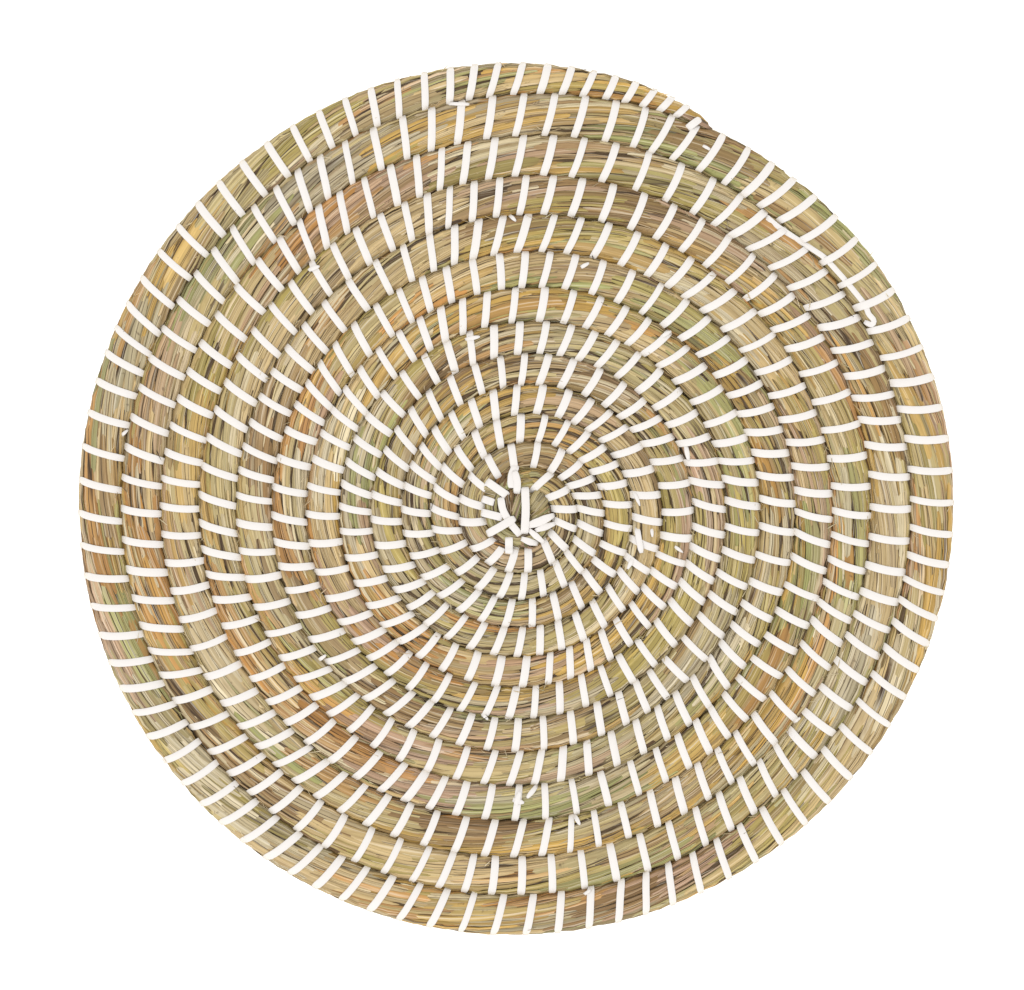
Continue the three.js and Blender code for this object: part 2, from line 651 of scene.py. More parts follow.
def add_node(
    tree: bpy.types.NodeTree,
    kind: str,
    settings: dict | None = None,
    values: dict | None = None,
    links: dict | None = None,
) -> bpy.types.Node:
    """Adds a node to a material.

    Args:
        tree: node tree that gets it.
        kind: Blender's name of the node type.
        settings: the node's own properties.
        values: constant for each named or numbered input.
        links: output socket that feeds each named or numbered input.

    Returns:
        The new node.
    """
    node = tree.nodes.new(kind)
    for name, value in (settings or {}).items():
        setattr(node, name, value)
    for name, value in (values or {}).items():
        node.inputs[name].default_value = value
    for name, socket in (links or {}).items():
        tree.links.new(socket, node.inputs[name])
    return node


def new_material(name: str) -> tuple[bpy.types.Material, bpy.types.NodeTree, bpy.types.Node]:
    """Makes a material with nothing but its shader and output.

    Args:
        name: the material's name.

    Returns:
        The material, its node tree and its shader node.
    """
    material = bpy.data.materials.new(name)
    material.use_nodes = True
    tree = material.node_tree
    tree.nodes.clear()
    shader = add_node(tree, "ShaderNodeBsdfPrincipled")
    add_node(tree, "ShaderNodeOutputMaterial", links={"Surface": shader.outputs["BSDF"]})
    return material, tree, shader


class StrawTone(Enum):
    """Colours of dried seagrass: how often each turns up in thin stalks and in broad leaves."""

    TAN = ("D2B681", 0.22, 0.14)
    KHAKI = ("C7B47F", 0.15, 0.12)
    PALE = ("E4D3AD", 0.09, 0.08)
    GOLDEN = ("D0A651", 0.13, 0.17)
    OLIVE = ("B9A559", 0.14, 0.15)
    GREEN = ("A5A564", 0.05, 0.07)
    PINKISH = ("C6A182", 0.05, 0.04)
    OCHRE = ("C98F47", 0.04, 0.09)
    GREY = ("BFB08E", 0.06, 0.03)
    BROWN = ("977548", 0.05, 0.08)

    @property
    def linear(self) -> np.ndarray:
        """Linear red, green and blue of the tone."""
        return linear_colour(self.value[0])


@dataclass(frozen=True)
class SeagrassFinish:
    """Dried seagrass leaf, air dried and twisted into a bundle.

    The leaf dries into fine lengthwise ridges with a dull waxy skin. Each ridge bleaches on
    its own, the seams between ridges stay dark, and there is almost no gloss. Real ridges and
    hairs are finer still, and are drawn as coarse as it takes for them to show.
    """

    name: str = "dried_seagrass_leaf"
    ridge_width_mm: float = 1.15
    ridge_length_mm: float = 150.0
    hair_width_mm: float = 0.4
    hair_length_mm: float = 55.0
    streak_width_mm: float = 1.6
    streak_length_mm: float = 15.0
    stain_width_mm: float = 2.2
    stain_length_mm: float = 4.0
    ridge_height_mm: float = 0.3
    seam_brown: str = "3A260E"
    streak_brown: str = "7A5A30"
    stain_brown: str = "4A3519"
    bleached: str = "E6DCC6"
    ior: float = 1.5
    roughness: tuple[float, float] = (0.6, 0.82)

    def pattern(
        self, tree: bpy.types.NodeTree, kind: str, size: tuple[float, float], settings: dict, values: dict
    ) -> bpy.types.Node:
        """Adds a pattern stretched along the stalk.

        Args:
            tree: node tree of the material.
            kind: Blender's name of the texture node.
            size: length along the stalk and width across it, in millimetres.
            settings: the texture's own properties.
            values: constants of its inputs.

        Returns:
            The texture node.
        """
        place = add_node(tree, "ShaderNodeAttribute", {"attribute_name": "stalk_place"})
        scaled = add_node(
            tree,
            "ShaderNodeVectorMath",
            {"operation": "MULTIPLY"},
            {1: (1 / size[0], 1 / size[1], 0.1)},
            {0: place.outputs["Vector"]},
        )
        return add_node(tree, kind, settings, values, {"Vector": scaled.outputs["Vector"]})

    def material(self) -> bpy.types.Material:
        """Builds the nodes.

        Ridges are the long cells of a Voronoi pattern, read from the stalk's own place
        attribute, which counts millimetres along and across it. The straw's colour is
        multiplied by a shade of each ridge's own and by fine hair lines. It turns brown in the
        seam where the distance to the next ridge is small, by a share of the ridge's own, and
        in streaks and stains, and bleached on the highest hairs.

        Returns:
            The material.
        """
        material, tree, shader = new_material(self.name)
        colour = add_node(tree, "ShaderNodeAttribute", {"attribute_name": "straw_colour"})
        ridge_size = (self.ridge_length_mm, self.ridge_width_mm)
        flat = {"voronoi_dimensions": "2D", "feature": "F1"}
        ridge = self.pattern(tree, "ShaderNodeTexVoronoi", ridge_size, flat, {"Scale": 1.0})
        edge = {"voronoi_dimensions": "2D", "feature": "DISTANCE_TO_EDGE"}
        seam = self.pattern(tree, "ShaderNodeTexVoronoi", ridge_size, edge, {"Scale": 1.0})
        noise = {"Scale": 1.0, "Detail": 2.0, "Roughness": 0.6}
        hair_size = (self.hair_length_mm, self.hair_width_mm)
        hair = self.pattern(tree, "ShaderNodeTexNoise", hair_size, {}, noise)
        streak_size = (self.streak_length_mm, self.streak_width_mm)
        streak = self.pattern(tree, "ShaderNodeTexNoise", streak_size, {}, noise)
        stain_size = (self.stain_length_mm, self.stain_width_mm)
        stain = self.pattern(tree, "ShaderNodeTexNoise", stain_size, {}, noise)
        own = add_node(tree, "ShaderNodeSeparateColor", links={"Color": ridge.outputs["Color"]})
        ramps = {}
        for use, source, low, high, start, end in (
            ("ridge shade", own.outputs["Red"], 0.0, 1.0, 0.88, 1.07),
            ("hair shade", hair.outputs["Fac"], 0.36, 0.62, 0.86, 1.05),
            ("seam strength", own.outputs["Green"], 0.35, 0.7, 0.05, 1.0),
            ("seam", seam.outputs["Distance"], 0.03, 0.1, 0.9, 0.0),
            ("streak", streak.outputs["Fac"], 0.54, 0.74, 0.0, 0.45),
            ("stain", stain.outputs["Fac"], 0.68, 0.78, 0.0, 0.7),
            ("bleaching", hair.outputs["Fac"], 0.56, 0.7, 0.0, 0.45),
        ):
            ramps[use] = add_node(
                tree,
                "ShaderNodeMapRange",
                values={"From Min": low, "From Max": high, "To Min": start, "To Max": end},
                links={"Value": source},
            )
        tree.links.new(ramps["seam strength"].outputs["Result"], ramps["seam"].inputs["To Min"])
        straw = colour.outputs["Color"]
        for use in ("ridge shade", "hair shade"):
            scaled = add_node(
                tree,
                "ShaderNodeVectorMath",
                {"operation": "SCALE"},
                links={0: straw, "Scale": ramps[use].outputs["Result"]},
            )
            straw = scaled.outputs["Vector"]
        tints = {
            "seam": self.seam_brown,
            "streak": self.streak_brown,
            "stain": self.stain_brown,
            "bleaching": self.bleached,
        }
        for use, tint in tints.items():
            mixed = add_node(
                tree,
                "ShaderNodeMix",
                {"data_type": "RGBA"},
                {7: (*linear_colour(tint), 1.0)},
                {0: ramps[use].outputs["Result"], 6: straw},
            )
            straw = mixed.outputs[2]
        roughness = add_node(
            tree,
            "ShaderNodeMapRange",
            values={"To Min": self.roughness[1], "To Max": self.roughness[0]},
            links={"Value": hair.outputs["Fac"]},
        )
        bump = add_node(
            tree,
            "ShaderNodeBump",
            values={"Strength": 0.8, "Distance": self.ridge_height_mm * MM},
            links={"Height": seam.outputs["Distance"]},
        )
        tree.links.new(straw, shader.inputs["Base Color"])
        tree.links.new(roughness.outputs["Result"], shader.inputs["Roughness"])
        tree.links.new(bump.outputs["Normal"], shader.inputs["Normal"])
        shader.inputs["IOR"].default_value = self.ior
        return material


@dataclass(frozen=True)
class StripFinish:
    """Polypropylene strip, extruded as film and slit.

    The film is white right through, with a satin skin and faint lines drawn along it by the
    die, which are coarser here than real ones so that they show. Low down, towards the
    crevices, it is drawn a darker, warmer white in patches along the die lines.
    it picks up a little of its colour.
    """

    name: str = "white_polypropylene_strip"
    white: str = "DDD8D3"
    # Darker, warmer white drawn low down on the strip, towards the crevices
    crevice_white: str = "D4C8B2"
    die_line_mm: float = 0.45
    die_line_length_mm: float = 30.0
    line_height_mm: float = 0.03
    roughness: float = 0.42
    ior: float = 1.49

    def material(self) -> bpy.types.Material:
        """Builds the nodes.

        Die lines are noise stretched along the strip, read from its place attribute, and the
        darker crevice colour follows the crevice share attribute, which is 1 down in the crevices.

        Returns:
            The material.
        """
        material, tree, shader = new_material(self.name)
        place = add_node(tree, "ShaderNodeAttribute", {"attribute_name": "strip_place"})
        crevice_share = add_node(tree, "ShaderNodeAttribute", {"attribute_name": "strip_crevice_share"})
        scaled = add_node(
            tree,
            "ShaderNodeVectorMath",
            {"operation": "MULTIPLY"},
            {1: (1 / self.die_line_length_mm, 1 / self.die_line_mm, 1.0)},
            {0: place.outputs["Vector"]},
        )
        lines = add_node(
            tree,
            "ShaderNodeTexNoise",
            values={"Scale": 1.0, "Detail": 2.0},
            links={"Vector": scaled.outputs["Vector"]},
        )
        share = add_node(
            tree,
            "ShaderNodeMath",
            {"operation": "MULTIPLY"},
            links={0: crevice_share.outputs["Fac"], 1: lines.outputs["Fac"]},
        )
        colour = add_node(
            tree,
            "ShaderNodeMix",
            {"data_type": "RGBA"},
            {6: (*linear_colour(self.white), 1.0), 7: (*linear_colour(self.crevice_white), 1.0)},
            {0: share.outputs["Value"]},
        )
        bump = add_node(
            tree,
            "ShaderNodeBump",
            values={"Strength": 0.6, "Distance": self.line_height_mm * MM},
            links={"Height": lines.outputs["Fac"]},
        )
        tree.links.new(colour.outputs[2], shader.inputs["Base Color"])
        tree.links.new(bump.outputs["Normal"], shader.inputs["Normal"])
        shader.inputs["Roughness"].default_value = self.roughness
        shader.inputs["IOR"].default_value = self.ior
        return material


@dataclass(frozen=True)
class FloorFinish:
    """Matt opal acrylic of a light table, sanded, lit weakly from beneath.

    Sanding leaves a fine tooth with no gloss, drawn coarser than it is so that it shows.
    """

    name: str = "opal_acrylic_light_table"
    white: str = "F9F9F8"
    tooth_mm: float = 0.8
    glow: float = 0.4

    def material(self) -> bpy.types.Material:
        """Builds the nodes: fine noise on Object coordinates gives the sanded tooth.

        Returns:
            The material.
        """
        material, tree, shader = new_material(self.name)
        place = add_node(tree, "ShaderNodeTexCoord")
        tooth = add_node(
            tree,
            "ShaderNodeTexNoise",
            values={"Scale": 1 / (self.tooth_mm * MM), "Detail": 2.0},
            links={"Vector": place.outputs["Object"]},
        )
        bump = add_node(
            tree,
            "ShaderNodeBump",
            values={"Strength": 0.1, "Distance": 0.02 * MM},
            links={"Height": tooth.outputs["Fac"]},
        )
        tree.links.new(bump.outputs["Normal"], shader.inputs["Normal"])
        shader.inputs["Base Color"].default_value = (*linear_colour(self.white), 1.0)
        shader.inputs["Roughness"].default_value = 0.9
        shader.inputs["Emission Color"].default_value = (1.0, 1.0, 1.0, 1.0)
        shader.inputs["Emission Strength"].default_value = self.glow
        return material


@dataclass
class Ribbons:
    """Many closed ribbons of the same mesh layout, made as one piece.

    rings holds every point, in millimetres, as ribbon, row along it, corner around it, xyz.
    """

    name: str
    rings: np.ndarray
    place: np.ndarray
    place_name: str
    extra: dict[str, np.ndarray]
    bake_aspect: float

    def faces(self) -> tuple[np.ndarray, np.ndarray]:
        """Joins neighbouring corners into walls, and closes both ends with a flat face.

        Returns:
            Corner list of every face one after another, and the size of each face.
        """
        count, rows, corners = self.rings.shape[:3]
        number = np.arange(count * rows * corners).reshape(count, rows, corners)
        turned = np.roll(number, -1, axis=2)
        walls = np.stack(
            [number[:, :-1], number[:, 1:], turned[:, 1:], turned[:, :-1]], axis=-1
        ).reshape(-1, 4)
        starts = number[:, 0, :]
        ends = number[:, -1, ::-1]
        if self.inside_out():
            walls = walls[:, ::-1]
            starts, ends = starts[:, ::-1], ends[:, ::-1]
        loops = np.concatenate([walls.ravel(), starts.ravel(), ends.ravel()])
        sizes = np.concatenate([np.full(len(walls), 4), np.full(2 * count, corners)])
        return loops, sizes

    def inside_out(self) -> bool:
        """Says whether the walls would face inwards.

        The first row's corners, seen from the next row, turn one way or the other: the sign
        of their area along the ribbon tells, added up over all ribbons.

        Returns:
            True if the faces have to be turned round.
        """
        ring = self.rings[:, 1]
        forward = self.rings[:, 2].mean(axis=1) - self.rings[:, 1].mean(axis=1)
        area = np.cross(ring, np.roll(ring, -1, axis=1)).sum(axis=1)
        return float(np.einsum("ni,ni->n", area, unit(forward)).sum()) > 0

    def bake_map(self) -> np.ndarray:
        """Gives each ribbon a cell of its own on the unit square.

        Ribbons fill a grid. Along a cell runs the ribbon, up it goes the way round, and its
        two end faces lie as small rounds at the cell's right.

        Returns:
            u and v for every face corner, in the order of faces().
        """
        count, rows, corners = self.rings.shape[:3]
        columns = max(1, round(math.sqrt(count / self.bake_aspect)))
        lines = math.ceil(count / columns)
        cell = np.array([1 / columns, 1 / lines])
        origin = np.stack([np.arange(count) % columns, np.arange(count) // columns], axis=-1) * cell
        row, corner = np.meshgrid(np.arange(rows - 1), np.arange(corners), indexing="ij")
        step_u = 0.86 / (rows - 1)
        step_v = 0.8 / corners
        u = 0.02 + step_u * np.stack([row, row + 1, row + 1, row], axis=-1)
        v = 0.1 + step_v * np.stack([corner, corner, corner + 1, corner + 1], axis=-1)
        if self.inside_out():
            u, v = u[..., ::-1], v[..., ::-1]
        walls = np.stack([u, v], axis=-1).reshape(1, -1, 2) * cell + origin[:, None]
        angle = 2 * math.pi * np.arange(corners) / corners
        rounds = []
        for height in (0.3, 0.7):
            disc = np.stack([0.94 + 0.035 * np.cos(angle), height + 0.14 * np.sin(angle)], axis=-1)
            rounds.append((disc[None] * cell + origin[:, None]).reshape(-1, 2))
        return np.concatenate([walls.reshape(-1, 2), *rounds])

    def build(self, material: bpy.types.Material) -> bpy.types.Object:
        """Makes the mesh, its attributes and its object.

        Args:
            material: finish of the whole piece.

        Returns:
            The object.
        """
        loops, sizes = self.faces()
        points = self.rings.reshape(-1, 3) * MM
        mesh = fill_mesh(self.name, points, loops, sizes)
        place = mesh.attributes.new(self.place_name, "FLOAT_VECTOR", "POINT")
        place.data.foreach_set("vector", self.place.reshape(-1).astype(np.float32))
        for name, values in self.extra.items():
            if values.ndim == 4:
                made = mesh.attributes.new(name, "FLOAT_COLOR", "POINT")
                made.data.foreach_set("color", values.reshape(-1).astype(np.float32))
            else:
                made = mesh.attributes.new(name, "FLOAT", "POINT")
                made.data.foreach_set("value", values.reshape(-1).astype(np.float32))
        layer = mesh.uv_layers.new(name="OFBake")
        layer.uv.foreach_set("vector", self.bake_map().reshape(-1).astype(np.float32))
        return finish_object(self.name, mesh, material)


def fill_mesh(name: str, points: np.ndarray, loops: np.ndarray, sizes: np.ndarray) -> bpy.types.Mesh:
    """Puts whole arrays of points and faces into a mesh.

    Args:
        name: the mesh's name.
        points: rows of x, y and z in metres.
        loops: corner list of every face one after another.
        sizes: number of corners of each face.

    Returns:
        The mesh, shaded smooth.
    """
    mesh = bpy.data.meshes.new(name)
    mesh.vertices.add(len(points))
    mesh.vertices.foreach_set("co", points.reshape(-1).astype(np.float32))
    mesh.loops.add(len(loops))
    mesh.loops.foreach_set("vertex_index", loops.astype(np.int32))
    mesh.polygons.add(len(sizes))
    starts = np.concatenate([[0], np.cumsum(sizes)[:-1]])
    mesh.polygons.foreach_set("loop_start", starts.astype(np.int32))
    mesh.polygons.foreach_set("use_smooth", np.ones(len(sizes), bool))
    mesh.update(calc_edges=True)
    mesh.validate()
    return mesh


def finish_object(name: str, mesh: bpy.types.Mesh, material: bpy.types.Material) -> bpy.types.Object:
    """Puts a mesh into the scene with its finish.

    Args:
        name: the piece's name.
        mesh: its mesh, placed in the part's frame.
        material: its finish.

    Returns:
        The object, unmoved.
    """
    mesh.materials.append(material)
    piece = bpy.data.objects.new(name, mesh)
    bpy.context.scene.collection.objects.link(piece)
    return piece


def upright_rings(
    path: np.ndarray, width: np.ndarray, side: np.ndarray, height: np.ndarray
) -> np.ndarray:
    """Carries a section along paths and keeps it upright.

    Across is path direction x up. A corner is path + across * width * side + up * height.

    Args:
        path: ribbon, row, xyz of the section's foot.
        width: width at each row.
        side: share of the width at each corner, from -0.5 to 0.5.
        height: height of each corner.

    Returns:
        Ribbon, row, corner, xyz.
    """
    across = unit(np.cross(unit(np.gradient(path, axis=1)), UP))
    rings = path[:, :, None] + across[:, :, None] * (width[..., None] * side)[..., None]
    return rings + UP * height[..., None]


def pattern_place(
    shape: tuple[int, ...], along: np.ndarray, across: np.ndarray, rng: np.random.Generator
) -> np.ndarray:
    """Gives each point its place in the pattern of its finish.

    Args:
        shape: ribbon, row, corner, xyz.
        along: millimetres along the ribbon, at each row.
        across: millimetres across it, at each corner.
        rng: source of each ribbon's own offset.

    Returns:
        Millimetres along and across, and 0, all moved by the ribbon's offset.
    """
    place = np.zeros(shape)
    place[..., 0] = along[..., None]
    place[..., 1] = across
    return place + rng.uniform(0, PATTERN_SPAN, (shape[0], 1, 1, 3))


def straw_piece(
    name: str,
    rings: np.ndarray,
    place: np.ndarray,
    rgb: np.ndarray,
    material: bpy.types.Material,
    bake_aspect: float = 12.0,
) -> bpy.types.Object:
    """Makes ribbons of straw into a piece, with its place and its colour as attributes.

    Args:
        name: the piece's name.
        rings: ribbon, row, corner, xyz.
        place: place of each point in the straw's pattern.
        rgb: linear colour of each point, before it is held from 0 to 1.
        material: finish of the straw.
        bake_aspect: length of a ribbon's cell on the bake map, in heights of the cell.

    Returns:
        The object.
    """
    colour = np.ones(rings.shape[:3] + (4,))
    colour[..., :3] = np.clip(rgb, 0, 1)
    ribbons = Ribbons(name, rings, place, "stalk_place", {"straw_colour": colour}, bake_aspect)
    return ribbons.build(material)


@dataclass
class StrawColours:
    """Chooses the colour of each stalk. Neighbours mostly share a tone."""

    seed: int = 23
    waves: int = 4
    longest_marks: float = 56.0
    most_rounds: float = 1.3
    share_weight: float = 0.6
    bias: float = 1.7
    sharpness: float = 1.5
    chance: float = 0.45
    own_share: float = 0.5
    value_spread: float = 0.13
    value_limits: tuple[float, float] = (0.72, 1.25)
    strength: float = 0.785
    hub_share: float = 0.7
    hub_marks: float = 45.0
    hub_value: float = 0.85

    def pick(self, phase: np.ndarray, girth: np.ndarray, leaf: np.ndarray) -> np.ndarray:
        """Draws a tone for each stalk.

        Each tone's score is share_weight * the logarithm of its share plus bias * wave, and
        the highest score wins. The wave is a sum of sines of phase / period + rounds * girth,
        whose periods fall from longest_marks by halves. A little Gumbel noise is added. The
        stalk's own tone is then mixed with the mean of the tones that score well there,
        weighed as exp(sharpness * score), and near the hub with dull khaki.

        Args:
            phase: middle of each stalk, in marks along the coil.
            girth: share of the way round the bundle.
            leaf: True for each broad leaf.

        Returns:
            Linear colour of each stalk, as rows of red, green and blue.
        """
        rng = np.random.default_rng(self.seed)
        tones = list(StrawTone)
        shade = np.array([tone.linear for tone in tones])
        thin_share = np.array([tone.value[1] for tone in tones])
        leaf_share = np.array([tone.value[2] for tone in tones])
        share = np.where(leaf[:, None], leaf_share, thin_share)
        size = (len(tones), self.waves)
        begin = rng.uniform(0, 2 * math.pi, size)
        period = self.longest_marks * rng.uniform(0.7, 1.3, size) / 2.0 ** np.arange(self.waves)
        rounds = rng.uniform(-self.most_rounds, self.most_rounds, size)
        turned = phase[:, None, None] / period + girth[:, None, None] * rounds
        wave = np.sin(turned * 2 * math.pi + begin).sum(axis=-1) / math.sqrt(self.waves / 2)
        noise = self.chance * rng.gumbel(size=(len(phase), len(tones)))
        score = self.share_weight * np.log(share) + self.bias * wave
        around = np.exp(self.sharpness * score)
        around = around @ shade / around.sum(axis=1, keepdims=True)
        own = shade[np.argmax(score + noise, axis=1)]
        chosen = around + self.own_share * (own - around)
        first = self.hub_share * np.exp(-phase / self.hub_marks)[:, None]
        chosen = chosen + first * (StrawTone.KHAKI.linear * self.hub_value - chosen)
        value = np.clip(rng.normal(1, self.value_spread, (len(phase), 1)), *self.value_limits)
        return np.clip(self.strength * chosen * value, 0, 1)


@dataclass
class BundleCore:
    """The body of the bundle, one closed coil that the stalks lie on."""

    form: BundleForm
    corners: int = 20
    shares: tuple[float, ...] = (0.0, 0.2, 0.5, 0.8)
    # Dark brown: painted shade for the gaps between the stalks
    tone: str = "523E22"
    lowest: float = 0.3
    # Lengths that the straw's pattern is laid out for: a middling radius and a girth
    pattern_radius: float = 60.0
    pattern_girth: float = 34.0

    def build(self, material: bpy.types.Material) -> bpy.types.Object:
        """Carries the section along the coil, with rows at and between the stitches.

        Args:
            material: finish of the straw.

        Returns:
            The object.
        """
        marks = len(self.form.marks.hole)
        phase = (np.arange(marks - 1)[:, None] + np.array(self.shares)).reshape(-1)
        phase = np.append(phase, marks - 1.0)
        angle = 2 * math.pi * (np.arange(self.corners) + 0.5) / self.corners
        points, _ = self.form.surface(phase[:, None], angle[None], np.array(0.0))
        points[..., 2] = np.maximum(points[..., 2], self.lowest)
        rings = points[None]
        along = self.form.middle_turn(phase) * 2 * math.pi * self.pattern_radius
        girth = np.interp(angle, self.form.table[1], self.form.table[0]) * self.pattern_girth
        place = np.zeros(rings.shape)
        place[..., 0] = along[None, :, None]
        place[..., 1] = girth
        # Painted shade in the crevices
        shade = crevice_shade(points[..., 2], self.form.open_rim(phase[:, None], angle[None]))
        rgb = linear_colour(self.tone) * warm_shade(shade)[None]
        return straw_piece("seagrass_bundle_core", rings, place, rgb, material, bake_aspect=1.0)


def crevice_shade(height: np.ndarray, open_rim: np.ndarray) -> np.ndarray:
    """Paints shade into the crevices, where two turns meet.

    Args:
        height: height of each point.
        open_rim: 1 on the outside of the mat, where there is no crevice, and 0 elsewhere.

    Returns:
        Shade from 0.26 at mid height to 1 on the shoulder, and 0.9 or more on the rim.
    """
    shade = 0.26 + 0.74 * smooth_step(np.abs(height - CREVICE_HEIGHT), 0.5, 2.8)
    return np.maximum(shade, 0.9 * open_rim)


def warm_shade(shade: np.ndarray) -> np.ndarray:
    """Spreads a shade over red, green and blue as its powers 0.95, 1.05 and 1.35."""
    return np.maximum(shade, 0)[..., None] ** np.array([0.95, 1.05, 1.35])


class Side(Enum):
    """Sides of the mat that stalks lie on: girth from and to, stalk count, and pieces made."""

    FACE = (-0.04, 0.54, 2300, 3)
    UNDERSIDE = (0.5, 1.0, 850, 1)


@dataclass
class StalkLayer:
    """Stalks laid over one side of the bundle, a little aslant like the strands of a rope."""

    form: BundleForm
    colours: StrawColours
    side: Side
    marks_per_stalk: int = 5
    row_shares: tuple[float, ...] = (0.16, 0.5, 0.84)
    seed: int = 5
    # Thin stalks are log-normal about their median, and broad leaves are even
    median_width: float = 2.3
    width_spread: float = 0.42
    thin_widths: tuple[float, float] = (0.8, 3.4)
    leaf_widths: tuple[float, float] = (3.4, 5.8)
    leaf_share: float = 0.42
    # Across a stalk the pattern is squeezed by a share of its own, and on leaves by this one
    thin_pattern: tuple[float, float] = (0.7, 1.2)
    leaf_pattern: float = 0.45
    slope_degrees: float = 6.5
    slope_spread: float = 1.8
    waver: float = 0.12
    waver_lengths: tuple[float, float] = (6.0, 14.0)
    thickness: float = 0.34
    layer_depths: tuple[float, float] = (-0.12, 0.3)
    leaf_sink: float = 0.1
    end_width: float = 0.4
    tuck: float = 0.6
    lowest: float = 0.35
    # Powers of the painted shade in the crevices, drawn for each stalk
    crevice_shade_powers: tuple[float, float] = (0.15, 1.1)
    # Painted shade at the edges of a stalk, where it meets the next, and a faint painted highlight along
    # its middle
    edge_shades: tuple[float, ...] = (0.22, 0.94, 1.03, 0.94, 0.22)

    def centres(self, count: int) -> np.ndarray:
        """Spreads the stalks' middles evenly over the area of the bundle.

        Args:
            count: number of stalks.

        Returns:
            Phase of each middle.
        """
        marks = len(self.form.marks.hole) - 1
        grid = np.linspace(0, marks, 4 * marks + 1)
        turn = self.form.middle_turn(grid)
        width = self.form.coil.width(turn)
        length = np.gradient(turn) * 2 * math.pi * (self.form.coil.outer(turn) - width / 2)
        cover = running_sum(np.maximum((width * length)[1:], 1e-3))
        return np.interp((np.arange(count) + 0.5) / count * cover[-1], cover, grid)

    def rows(self, centre: np.ndarray) -> tuple[np.ndarray, np.ndarray]:
        """Places the rows of each stalk, which runs from one stitch to another.

        Args:
            centre: phase of each stalk's middle.

        Returns:
            Phase of each row, and marks from the row to the nearer end.
        """
        steps = (np.arange(self.marks_per_stalk)[:, None] + self.row_shares).reshape(-1)
        steps = np.concatenate([[0], steps, [self.marks_per_stalk]])
        start = np.round(centre - self.marks_per_stalk / 2)
        phase = np.clip(start[:, None] + steps, 0, len(self.form.marks.hole) - 1)
        return phase, np.minimum(steps, self.marks_per_stalk - steps)

    def widths(self, count: int, rng: np.random.Generator) -> tuple[np.ndarray, np.ndarray]:
        """Draws the stalks' widths.

        Args:
            count: number of stalks.
            rng: source of chance.

        Returns:
            Width of each stalk, and True for each broad leaf.
        """
        thin = self.median_width * np.exp(rng.normal(0, self.width_spread, count))
        leaf = rng.random(count) < self.leaf_share
        broad = rng.uniform(*self.leaf_widths, count)
        return np.where(leaf, broad, np.clip(thin, *self.thin_widths)), leaf

    def drift(
        self, phase: np.ndarray, rng: np.random.Generator
    ) -> tuple[np.ndarray, np.ndarray]:
        """Works out how each stalk strays round the bundle: by its slope, and a sine's waver.

        Args:
            phase: phase of each row.
            rng: source of chance.

        Returns:
            Millimetres along the stalk, and millimetres that it has strayed outwards.
        """
        count = len(phase)
        turn = self.form.middle_turn(phase)
        radius = np.maximum(self.form.coil.outer(turn), 4)
        along = running_sum(np.diff(turn, axis=1) * math.pi * (radius[:, 1:] + radius[:, :-1]))
        early = np.clip(turn.mean(axis=1) / 3, 0.3, 1)
        slope = rng.normal(self.slope_degrees, self.slope_spread, count)
        slope = np.tan(np.radians(slope * early))
        period = rng.uniform(*self.waver_lengths, (count, 1))
        waver = self.waver * np.sin(along / period + rng.uniform(0, 6.3, (count, 1)))
        return along, slope[:, None] * (along - along.mean(axis=1, keepdims=True)) + waver

    def build(self, material: bpy.types.Material) -> list[bpy.types.Object]:
        """Lays the stalks and makes the pieces.

        The stalks' middles are spread evenly along the coil, and round the bundle by the
        golden ratio. Each stalk drifts outwards, and it tapers and tucks in beneath the
        stitches at its ends. Its crevices are given painted shade, deeper near a stitch.

        Args:
            material: finish of the straw.

        Returns:
            The objects.
        """
        rng = np.random.default_rng(self.seed)
        girth_from, girth_to, count, pieces = self.side.value
        number = np.arange(count)
        centre = self.centres(count)
        spread = np.mod(number * GOLDEN_SHARE + rng.uniform(-0.04, 0.04, count), 1)
        girth = girth_from + (girth_to - girth_from) * spread
        phase, from_end = self.rows(centre)
        width, leaf = self.widths(count, rng)
        taper = self.end_width + (1 - self.end_width) * smooth_step(from_end, 0, 0.9)
        along, strayed = self.drift(phase, rng)
        around = self.form.girth_length(phase)
        half = (width[:, None] * taper / around)[..., None]
        place_round = girth[:, None, None] - (strayed / around)[..., None] + half * ARCH_SIDE
        layer = rng.uniform(*self.layer_depths, count) - self.leaf_sink * leaf
        tucked = self.tuck * (1 - smooth_step(from_end, 0, 0.6))
        thick = self.thickness * np.clip(width, 0.8, 1.8) ** 0.5
        lift = (layer[:, None] - tucked)[..., None] + thick[:, None, None] * ARCH_RISE
        angle = self.form.angle_at(place_round)
        points, _ = self.form.surface(phase[..., None], angle, lift)
        points[..., 2] = np.maximum(points[..., 2], self.lowest)
        across = (width[:, None] * taper)[..., None] * ARCH_SIDE
        squeeze = np.where(leaf, self.leaf_pattern, rng.uniform(*self.thin_pattern, count))
        place = pattern_place(points.shape, along, across * squeeze[:, None, None], rng)
        from_stitch = np.abs(phase - np.round(phase))
        # Painted shade in the crevices, deeper near a stitch
        crevice_shade_power = rng.uniform(*self.crevice_shade_powers, (count, 1)) * (1.6 - smooth_step(from_stitch, 0.1, 0.4))
        open_rim = self.form.open_rim(phase[..., None], angle)
        crevice = crevice_shade(points[..., 2], open_rim) ** crevice_shade_power[..., None]
        tone = self.colours.pick(centre, girth, leaf)[:, None, None]
        rgb = tone * warm_shade(np.array(self.edge_shades) * crevice)
        made = []
        for part, chosen in enumerate(np.array_split(number, pieces), start=1):
            name = f"seagrass_stalks_{self.side.name.lower()}_{part}"
            made.append(straw_piece(name, points[chosen], place[chosen], rgb[chosen], material))
        return made


